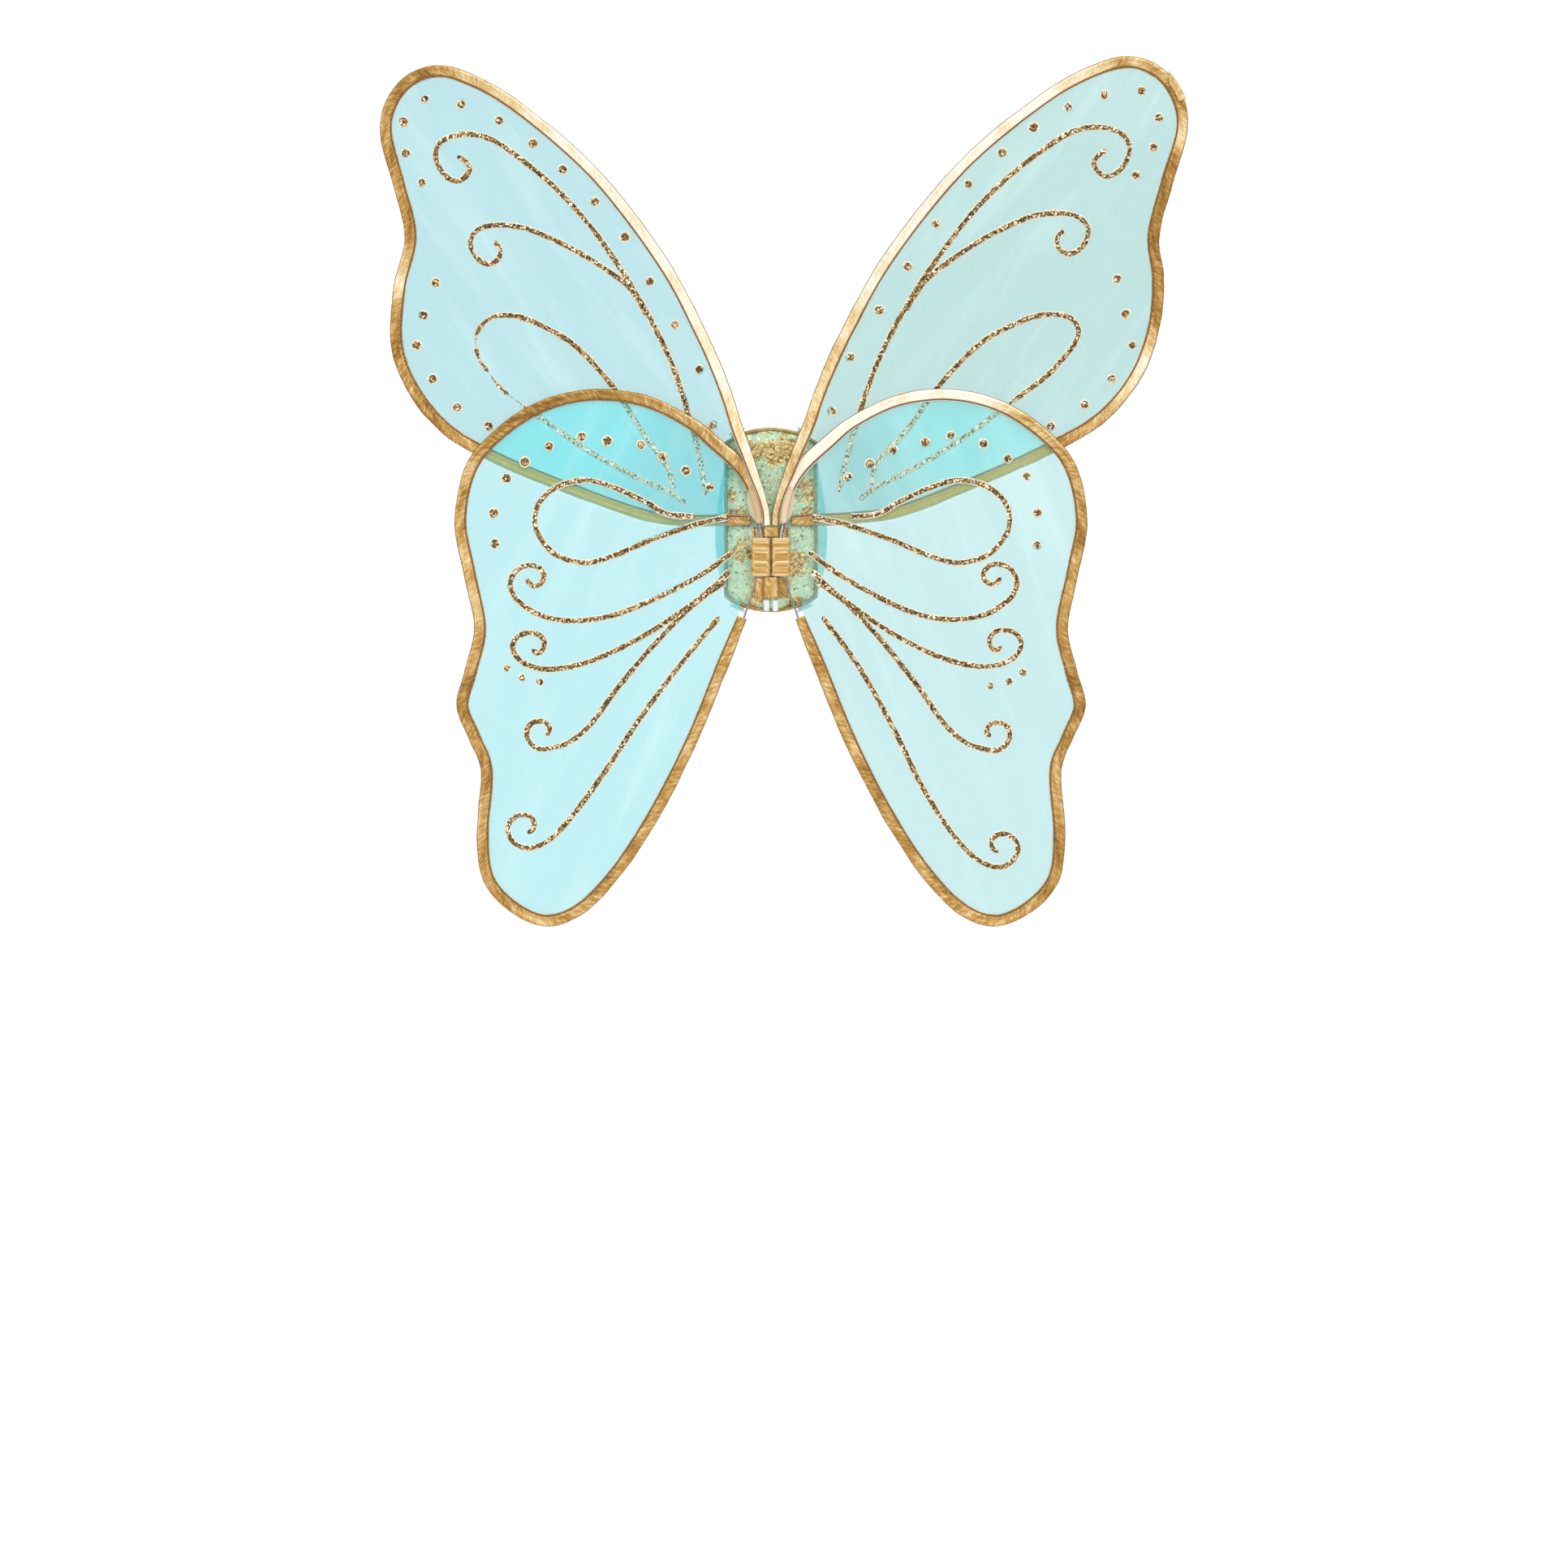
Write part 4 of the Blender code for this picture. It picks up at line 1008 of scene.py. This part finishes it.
def make_dots(wing, material):
    parts, grit, behind_cloth_painted_light = [], [], []
    large, small = DOTS[wing.name]
    sizes = [(centre, DOT_RADIUS) for centre in large] + [(centre, SMALL_DOT_RADIUS) for centre in small]
    for number, (centre, radius) in enumerate(sizes):
        radius *= 1 + 0.12 * float(wander(number * 1.7, seed=wing.seed + 60))
        points, faces, rough = dot(wing, centre, radius, wing.seed + 70 + number)
        parts.append((points, faces))
        grit.append(rough)
        # Painted highlight on the dots where the lower wing's cloth lies in front.
        behind_cloth_painted_light.append(np.repeat(wing.behind_lower(np.array([centre], float)), len(points)))
    obj = new_object(f"{wing.name}_glitter_dots", *joined(parts), material)
    write_attribute(obj, "grit", np.concatenate(grit))
    write_attribute(obj, "behind_cloth_painted_light", np.concatenate(behind_cloth_painted_light))
    dress(obj, wing.body)


def shifted(swirls, shifts):
    """Swirls whose curls are moved, easing out towards the root."""
    moved = []
    for swirl, shift in zip(swirls, shifts):
        points = np.array(swirl, float)
        steps = lengths(points)
        share = 1 - ease((steps / steps[-1] - 0.35) / 0.65)
        moved.append(points + share[:, None] * np.array(shift))
    return moved


def make_wing(wing, organza, lame, thread, glitter):
    swirls = [posed(swirl, *UPPER_POSE[wing.side]) for swirl in UPPER_SWIRLS]
    if wing.side > 0:
        swirls = shifted(swirls, RIGHT_UPPER_SHIFT)
    if not wing.upper:
        upper = Wing(wing.word, "upper")
        tape = upper.rows[:, :2] + upper.across * upper.rows[:, 3:4] / 2
        wing.behind = [(tape[::3], TAPE_WIDTH / 2)] + [(smooth_rows(s, 3.0)[0], LINE_HALF) for s in swirls]
        swirls = LOWER_SWIRLS if wing.side < 0 else shifted(LOWER_SWIRLS, RIGHT_LOWER_SHIFT)
    make_membrane(wing, organza)
    make_binding(wing, lame)
    make_tape_stitches(wing, thread)
    if wing.name == "right_upper":
        make_tape_end(wing, lame)
    make_swirls(wing, swirls, glitter)
    make_dots(wing, glitter)


# ---------------------------------------------------------------- root


def make_root_sheen_gather(word, material):
    """A scrap of sheer pinkish cloth gathered under the crossing of the frames, which paints a pale pink
    sheen at the foot of the V.
    """
    side, columns, rows = SIDES[word], 44, 30
    across = np.linspace(-1, 1, columns)
    up = np.linspace(0, 1, rows)[:, None]
    half = 6.4 * np.sin(math.pi * (0.14 + 0.85 * up)) ** 0.6
    x = 6.5 + 8.0 * up + half * across
    z = -3.0 + 27.0 * up - 2.5 * across * np.sin(math.pi * up) + 0.4 * np.sin(7 * across)
    folds = np.sin(across * math.pi * 4.2 + 1.4 * up) * (0.35 + 0.65 * up)
    y = -16.0 + 0.3 * folds + 0.15 * wander(across * 3, up * 4, seed=5 + side)
    points = np.stack([side * x, y, z], axis=-1)
    obj = new_object(f"{word}_root_sheen_gather", points, grid_faces(rows, columns), material)
    dress(obj, f"{word}_wings")


def make_root_wrap(word, material):
    """Tape wound round the clamp: each turn overlaps the one below."""
    side, rings, ring, pitch = SIDES[word], 90, 48, 7.0
    low, high = node_box(f"{word}_root_wrap")
    radius = (high[1] - low[1]) / 2
    angle = np.linspace(0, 2 * math.pi, ring, endpoint=False)
    z = np.linspace(low[2], high[2], rings)[:, None]
    phase = ((z - low[2]) / pitch + 0.35 * np.sin(angle) - 0.15) % 1.0
    crease = 0.09 * wander(z / 1.6 + angle * 3, angle * 4, seed=80 + side)
    r = radius + 0.30 * phase - 0.22 + crease
    x = np.where(np.cos(angle) > 0, CLAMP_OUTER_X, HINGE_X) + r * np.cos(angle)
    points = np.stack(np.broadcast_arrays(side * x, FRONT_Y + r * np.sin(angle), z), axis=-1)
    obj = new_object(f"{word}_clamp_wrap", points, tube_faces(rings, ring), material)
    write_attribute(obj, "pale", 0.35)
    write_run(obj, angle * radius, z)
    dress(obj, f"{word}_wings", f"{word}_root_wrap")


# ---------------------------------------------------------------- pad


def pad_outline(inset, spacing=2.0, corner=4.0):
    """The pad's outline, with arched ends and soft corners: even points, and how far round each one is."""
    radius = PAD_ARCH_RADIUS - inset
    reach = math.asin((PAD_WIDTH / 2 - inset) / radius)
    angle = np.linspace(math.pi / 2 - reach, math.pi / 2 + reach, 41)
    top = np.column_stack([radius * np.cos(angle), ARCH_UP + radius * np.sin(angle)])
    loop = np.vstack([top, -top, top[:1]])
    along = lengths(loop)
    wanted = np.linspace(0, along[-1], round(along[-1] / spacing), endpoint=False)
    outline = np.column_stack([np.interp(wanted, along, column) for column in loop.T])
    for _ in range(int(corner / spacing)):
        outline = (np.roll(outline, 1, axis=0) + 2 * outline + np.roll(outline, -1, axis=0)) / 4
    return outline, wanted


def evaluated_copy(obj, name):
    graph = bpy.context.evaluated_depsgraph_get()
    mesh = bpy.data.meshes.new_from_object(obj.evaluated_get(graph))
    mesh.name = name
    copy = bpy.data.objects.new(name, mesh)
    bpy.context.scene.collection.objects.link(copy)
    return copy


HELD_BEHIND = -3.2
INFLATE_FRAMES = 20


def puff(obj, pressure, most, voxel):
    """Remesh a block and blow it up as cloth. No point moves further than most."""
    remesh = obj.modifiers.new("remesh", "REMESH")
    remesh.mode = "VOXEL"
    remesh.voxel_size = voxel * MM
    start = evaluated_copy(obj, obj.name + "_start")
    bpy.data.objects.remove(obj)
    rest = np.array([v.co for v in start.data.vertices])
    held = start.vertex_groups.new(name="held")
    held.add([k for k, place in enumerate(rest) if place[1] > HELD_BEHIND * MM], 1.0, "REPLACE")
    cloth = start.modifiers.new("cloth", "CLOTH")
    cloth.settings.quality = 6
    cloth.settings.mass = 0.15
    cloth.settings.tension_stiffness = cloth.settings.compression_stiffness = 12
    cloth.settings.bending_stiffness = 0.4
    cloth.settings.use_pressure = True
    cloth.settings.uniform_pressure_force = pressure
    cloth.settings.effector_weights.gravity = 0
    cloth.settings.vertex_group_mass = "held"
    cloth.collision_settings.use_collision = False
    for frame_number in range(1, INFLATE_FRAMES + 1):
        bpy.context.scene.frame_set(frame_number)
    moved = evaluated_copy(start, start.name + "_moved")
    bpy.context.scene.frame_set(1)
    bpy.data.objects.remove(start)
    shift = np.array([v.co for v in moved.data.vertices]) - rest
    size = np.linalg.norm(shift, axis=1, keepdims=True)
    shift *= np.minimum(1, most * MM / np.maximum(size, 1e-9))
    moved.data.vertices.foreach_set("co", (rest + shift).ravel())
    return moved


PAD_COVER_FRONT = -8.6


def make_pad_cover(material):
    """The stuffed front of the pad, blown up as cloth and held flat behind."""
    outline, _ = pad_outline(1.4)
    count = len(outline)
    points = [(x, y, z) for y in (-0.9, -7.0) for x, z in outline]
    faces = [(k, (k + 1) % count, count + (k + 1) % count, count + k) for k in range(count)]
    faces += [tuple(range(count)), tuple(range(count, 2 * count))[::-1]]
    cover = puff(new_object("pad_block", points, faces, material), pressure=4.0, most=1.4, voxel=3.0)
    smooth = cover.modifiers.new("smooth", "SUBSURF")
    smooth.levels = smooth.render_levels = 1
    final = evaluated_copy(cover, "pad_glitter_cover")
    bpy.data.objects.remove(cover)
    places = np.array([v.co for v in final.data.vertices]) / MM
    x, y, z = places.T
    relief = 0.14 * wander(x / 2.2, z / 2.0, seed=91) + 0.10 * wander(x / 6, z / 5, seed=92)
    places[:, 1] = np.maximum(y + (y < -5) * relief, PAD_COVER_FRONT)
    final.data.vertices.foreach_set("co", (places * MM).ravel())
    final.data.polygons.foreach_set("use_smooth", [True] * len(final.data.polygons))
    final.data.materials.clear()
    final.data.materials.append(material)
    dress(final, "back_pad", "back_pad_cover")


def make_pad_lining(material):
    """The soft panel against the wearer's back."""
    outline, _ = pad_outline(2.4, spacing=2.5)
    count, rings = len(outline), 15
    share = np.linspace(1, 0, rings + 1)[:-1, None]
    x, z = outline[:, 0] * share, outline[:, 1] * share
    crown = 0.35 * (1 - share**2) + 0.12 * wander(x / 9, z / 9, seed=95) * (1 - share**4)
    points = np.vstack([np.stack([x, crown - 0.52, z], axis=-1).reshape(-1, 3), (0, -0.1, 0)])
    faces = grid_faces(rings, count, around=True)
    last = (rings - 1) * count
    faces += [(last + k, last + (k + 1) % count, rings * count) for k in range(count)]
    obj = new_object("pad_lining_panel", points, faces, material)
    dress(obj, "back_pad", "back_pad_lining")


# The rim tape's section, turned over both faces of the pad, as (in from the rim, Y).
RIM_SECTION = (
    (4.2, -0.35), (4.0, 0.05), (2.6, 0.12), (1.2, 0.0), (0.4, -0.7), (0.05, -2.2), (0.0, -3.8), (0.05, -5.4),
    (0.4, -6.8), (1.0, -7.45), (1.8, -7.7), (2.3, -7.5), (2.4, -7.0),
)


def make_pad_binding(material):
    outline, along = pad_outline(0, spacing=1.2)
    tangent = np.roll(outline, -1, axis=0) - np.roll(outline, 1, axis=0)
    tangent /= np.linalg.norm(tangent, axis=1, keepdims=True)
    inwards = np.column_stack([-tangent[:, 1], tangent[:, 0]])
    section = np.array(RIM_SECTION)
    s, w = along[:, None], lengths(section)
    lift = 0.12 * wander((s + w) / 2.2, (s - w) / 6, seed=97) + 0.1 * wander(s / 7, w / 5, seed=98)
    u = section[:, 0] + lift + 0.12
    points = np.stack([outline[:, 0:1] + inwards[:, 0:1] * u, section[:, 1] + lift * 0.5,
                       outline[:, 1:2] + inwards[:, 1:2] * u], axis=-1)
    faces = tube_faces(len(outline), len(section), closed=True)
    obj = new_object("pad_edge_tape", points, faces, material)
    write_attribute(obj, "pale", 0.25)
    write_run(obj, s, w)
    dress(obj, "back_pad", "back_pad_edge_binding")


SLEEVE_FOOT_HALF, SLEEVE_PLY, SLEEVE_GAP, SLEEVE_HALF = 14.0, 1.2, 0.3, 2.1


def make_sleeve(name, material, thread):
    """A tape bridge sewn to the pad over both shanks."""
    low, high = node_box(name)
    foot, top, half = PAD_FRONT - SLEEVE_GAP, low[1], HINGE_X + SLEEVE_HALF
    seat = foot - SLEEVE_PLY
    right = np.array([
        (SLEEVE_FOOT_HALF, foot), (SLEEVE_FOOT_HALF, foot - 0.9), (SLEEVE_FOOT_HALF - 0.6, seat),
        (half + 1.6, seat), (half + 0.5, seat - 1.4), (half, -14.0), (half - 0.05, -16.6),
        (half - 0.9, top + 0.5), (HINGE_X, top + 0.02), (1.2, top + 0.25), (0.0, top + 0.45),
    ])
    loop = np.vstack([right, (right * (-1, 1))[-2::-1]])
    x, y = loop.T
    rings, w = 22, lengths(loop)
    z = np.linspace(low[2], high[2], rings)[:, None]
    pull = np.zeros((rings, 1))
    pull[[0, -1]] = 0.35
    pull = pull * np.where(y > seat - 0.1, 1, 0.6)
    lift = 0.12 * wander((z + w) / 2.0, (z - w) / 6, seed=101)
    deep = y + lift * 0.6 + pull * (y < foot - 0.1)
    points = np.stack(np.broadcast_arrays(x * (1 - 0.004 * pull), deep, z), axis=-1)
    obj = new_object(f"{name}_tape", points, tube_faces(rings, len(loop)), material)
    write_attribute(obj, "pale", 0.3)
    write_run(obj, z, w)
    dress(obj, "back_pad", name)
    line, pitch, length, radius = 12.2, 2.4, 1.9, 0.32
    parts = [stitch((x, seat - 0.05, z), (x, seat - 0.05, z + length), radius, (0, -1, 0))
             for x in (-line, line) for z in np.arange(low[2] + 0.8, high[2] - 1.4, pitch)]
    dress(new_object(f"{name}_stitches", *joined(parts), thread), "back_pad")


# ---------------------------------------------------------------- straps

STRAP_WIDTH, STRAP_THICKNESS = 10.0, 1.2
# The straps' ends lie along the pad's arched rims, tilted by STRAP_TILT, and come level over STRAP_UNTWIST.
STRAP_TILT, STRAP_UNTWIST, STRAP_GAP = math.radians(23.0), 30.0, 0.3
STRAP_END_RADIUS = PAD_ARCH_RADIUS + STRAP_GAP + STRAP_THICKNESS / 2
END_X = STRAP_END_RADIUS * math.sin(STRAP_TILT)
END_UP = ARCH_UP + STRAP_END_RADIUS * math.cos(STRAP_TILT)
STRAP_ROUTE = ((END_X, -6.6, END_UP), (END_X, -1.5, END_UP), (END_X, 3.5, END_UP - 0.2), (25.2, 12, 61.6),
               (28, 36, 50), (33, 67, 27), (37, 84, -8), (34, 70, -38), (28, 36, -56), (25.2, 12, -62.2),
               (END_X, 3.5, 0.2 - END_UP), (END_X, -1.5, -END_UP), (END_X, -6.6, -END_UP))
PATCH_SIZE = (13.0, 6.4, 0.8)  # along the arch, across it, and thick
PATCH_Y, PATCH_RADIUS = -3.8, 64.2


def make_strap(word, material):
    """A loop of woven elastic with ribs along it."""
    rows, along = smooth_rows(STRAP_ROUTE, 2.0)
    tangent = np.gradient(rows, axis=0)
    tangent /= np.linalg.norm(tangent, axis=1, keepdims=True)
    tilt = STRAP_TILT * np.clip(1 - np.clip(rows[:, 1], 0, None) / STRAP_UNTWIST, 0, 1)
    level = np.column_stack([np.cos(tilt), 0 * tilt, -np.copysign(np.sin(tilt), rows[:, 2])])
    wide = level - np.sum(level * tangent, axis=1, keepdims=True) * tangent
    wide /= np.linalg.norm(wide, axis=1, keepdims=True)
    thin = np.cross(tangent, wide)
    face = np.linspace(-1, 1, 21)
    ribs = 0.82 + 0.18 * np.abs(np.sin(face * math.pi * 4.5))
    ribs[[0, -1]] = 0.55
    share = np.concatenate([face, face[::-1]])
    lift = np.concatenate([ribs, -ribs[::-1]])
    around = lengths(np.column_stack([share * STRAP_WIDTH / 2, lift * 0.5]))
    pinch = (1 - 0.012 * np.sin(along / 1.2))[:, None, None]
    points = (rows[:, None, :] + wide[:, None, :] * (share[:, None] * (STRAP_WIDTH / 2) * pinch)
              + thin[:, None, :] * (lift[:, None] * STRAP_THICKNESS / 2))
    faces = tube_faces(len(rows), len(share))
    obj = new_object(f"{word}_elastic_loop", points * (SIDES[word], 1, 1), faces, material)
    write_run(obj, along[:, None], around)
    dress(obj, "back_pad", f"{word}_shoulder_strap")


# A patch's sewn box and cross, as corners in shares of its half size.
SEAM_A, SEAM_B = 0.82, 0.72
PATCH_CORNERS = ((-SEAM_A, -SEAM_B), (SEAM_A, -SEAM_B), (SEAM_A, SEAM_B), (-SEAM_A, SEAM_B))
PATCH_SEAMS = ((0, 1), (1, 2), (2, 3), (3, 0), (0, 2), (3, 1))


def make_patch(word, place, material, thread):
    """A small patch over a strap's end, on the pad's rim, with a sewn box and cross."""
    side, end = SIDES[word], 1 if place == "top" else -1
    node = f"{word}_strap_patch_{place}"
    out = np.array((side * math.sin(STRAP_TILT), 0, end * math.cos(STRAP_TILT)))
    along_arch = np.array((side * math.cos(STRAP_TILT), 0, -end * math.sin(STRAP_TILT)))
    centre = np.array((0, PATCH_Y, end * ARCH_UP)) + PATCH_RADIUS * out
    half = np.array(PATCH_SIZE) / 2

    def at(a, b, lift):
        """The place at some shares of the patch's half size along the arch, across it and outwards."""
        return centre + (np.stack(np.broadcast_arrays(a, b, lift), -1) * half) @ [along_arch, (0, 1, 0), out]

    columns, rows = 27, 17
    a, b = np.linspace(-1, 1, columns), np.linspace(-1, 1, rows)[:, None]
    edge = np.maximum(np.abs(a), np.abs(b))
    seam = np.exp(-((edge - 0.8) / 0.07) ** 2)
    tight = 1 - 0.03 * np.abs(a * b) ** 4
    front, back = 1 - 0.6 * edge**6 - 0.3 * seam, 0.6 * edge**6 - 1
    points = [at(a * tight, b * tight, lift) for lift in (front, back)]
    size = rows * columns
    grid = np.arange(size).reshape(rows, columns)
    rim = np.concatenate([grid[0], grid[1:, -1], grid[-1, -2::-1], grid[-2:0:-1, 0]]).tolist()
    faces = grid_faces(rows, columns) + grid_faces(rows, columns, start=size)
    faces += [(one, two, size + two, size + one) for one, two in zip(rim, rim[1:] + rim[:1])]
    obj = new_object(f"{node}_sewn", points, faces, material)
    write_run(obj, a * half[0], np.stack([b, b]) * half[1])
    dress(obj, "back_pad", node)
    pitch, radius, lift = 1.7, 0.2, 0.75
    parts = []
    for first, second in PATCH_SEAMS:
        start, stop = np.array(PATCH_CORNERS[first]), np.array(PATCH_CORNERS[second])
        count = max(2, round(float(np.linalg.norm((stop - start) * half[:2])) / pitch))
        for k in range(count):
            one, two = (start + (stop - start) * (k + share) / count for share in (0.1, 0.9))
            parts.append(stitch(at(*one, lift), at(*two, lift), radius, out))
    dress(new_object(f"{node}_stitches", *joined(parts), thread), "back_pad")


# ---------------------------------------------------------------- CAD nodes that stay


def paint_cad(frame):
    """Materials for the CAD nodes that stay in view."""
    steel = plain_paint("drawn_steel", (1800, 1800, 90), (150, 150, 152), (196, 196, 198),
                        (0.24, 0.42, 0.3, 0.7), (0.05, 0.4), metallic=1.0)
    plastic = plain_paint("cap_plastic", 260, (206, 218, 216), (232, 240, 238), (0.18, 0.34), (0.1, 0.3),
                          ior=1.46, coat_weight=0.2)
    keep = {
        "back_pad_foam": plain_paint("pad_foam", 900, (214, 208, 186), (238, 234, 218), (0.8, 0.95),
                                     (0.4, 0.8), pores=True, specular_ior_level=0.2),
        "back_pad_stiffener": plain_paint("pad_board", 500, (222, 222, 220), (240, 240, 238), (0.5, 0.65),
                                          (0.1, 0.4)),
    }
    for word in SIDES:
        keep[f"{word}_root_clamp"] = steel
        keep[f"{word}_shank_cap"] = plastic
        for level in ("upper", "lower"):
            keep[f"{word}_{level}_wire_frame"] = steel
    for node, material in keep.items():
        for place in frame["nodes"][node].material_slots:
            place.material = material


def main():
    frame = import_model()
    set_camera()
    set_studio()
    make_floor()
    lame = lame_paint("gold_lame")
    edge_lame = lame_paint("edge_lame", edged=True)
    thread = thread_paint("brown_thread", srgb(96, 62, 26), srgb(150, 108, 56))
    pale_thread = thread_paint("aqua_thread", srgb(150, 206, 200), srgb(206, 238, 232))
    glitter = glitter_line_paint("glitter_glue")
    for word, side in SIDES.items():
        for level in ("upper", "lower"):
            dye, solid, slope = ORGANZA[f"{word}_{level}"]
            organza = organza_paint(f"{word}_{level}_organza", dye, solid, side * math.radians(slope))
            make_wing(Wing(word, level), organza, edge_lame, thread, glitter)
        make_root_wrap(word, lame)
        make_strap(word, elastic_paint(f"{word}_elastic", srgb(196, 226, 220), srgb(236, 248, 245)))
    # Painted sheen: pinkish sheer cloth at the root for the pale pink sheen there.
    sheen_gather = organza_paint("root_sheen_organza", (0.86, 0.66, 0.42, 1), 0.5, 0.2, covered=False)
    patch = elastic_paint("patch_cloth", srgb(150, 208, 202), srgb(196, 232, 226))
    for word in SIDES:
        make_root_sheen_gather(word, sheen_gather)
        for place in ("top", "bottom"):
            make_patch(word, place, patch, pale_thread)
    make_pad_cover(glitter_fabric_paint("glitter_cloth"))
    make_pad_lining(lining_paint("aqua_lining"))
    make_pad_binding(lame_paint("pad_lame", dye=srgb(132, 124, 74)))
    for name in ("upper_shank_sleeve", "lower_shank_sleeve"):
        make_sleeve(name, lame, thread)
    paint_cad(frame)


main()
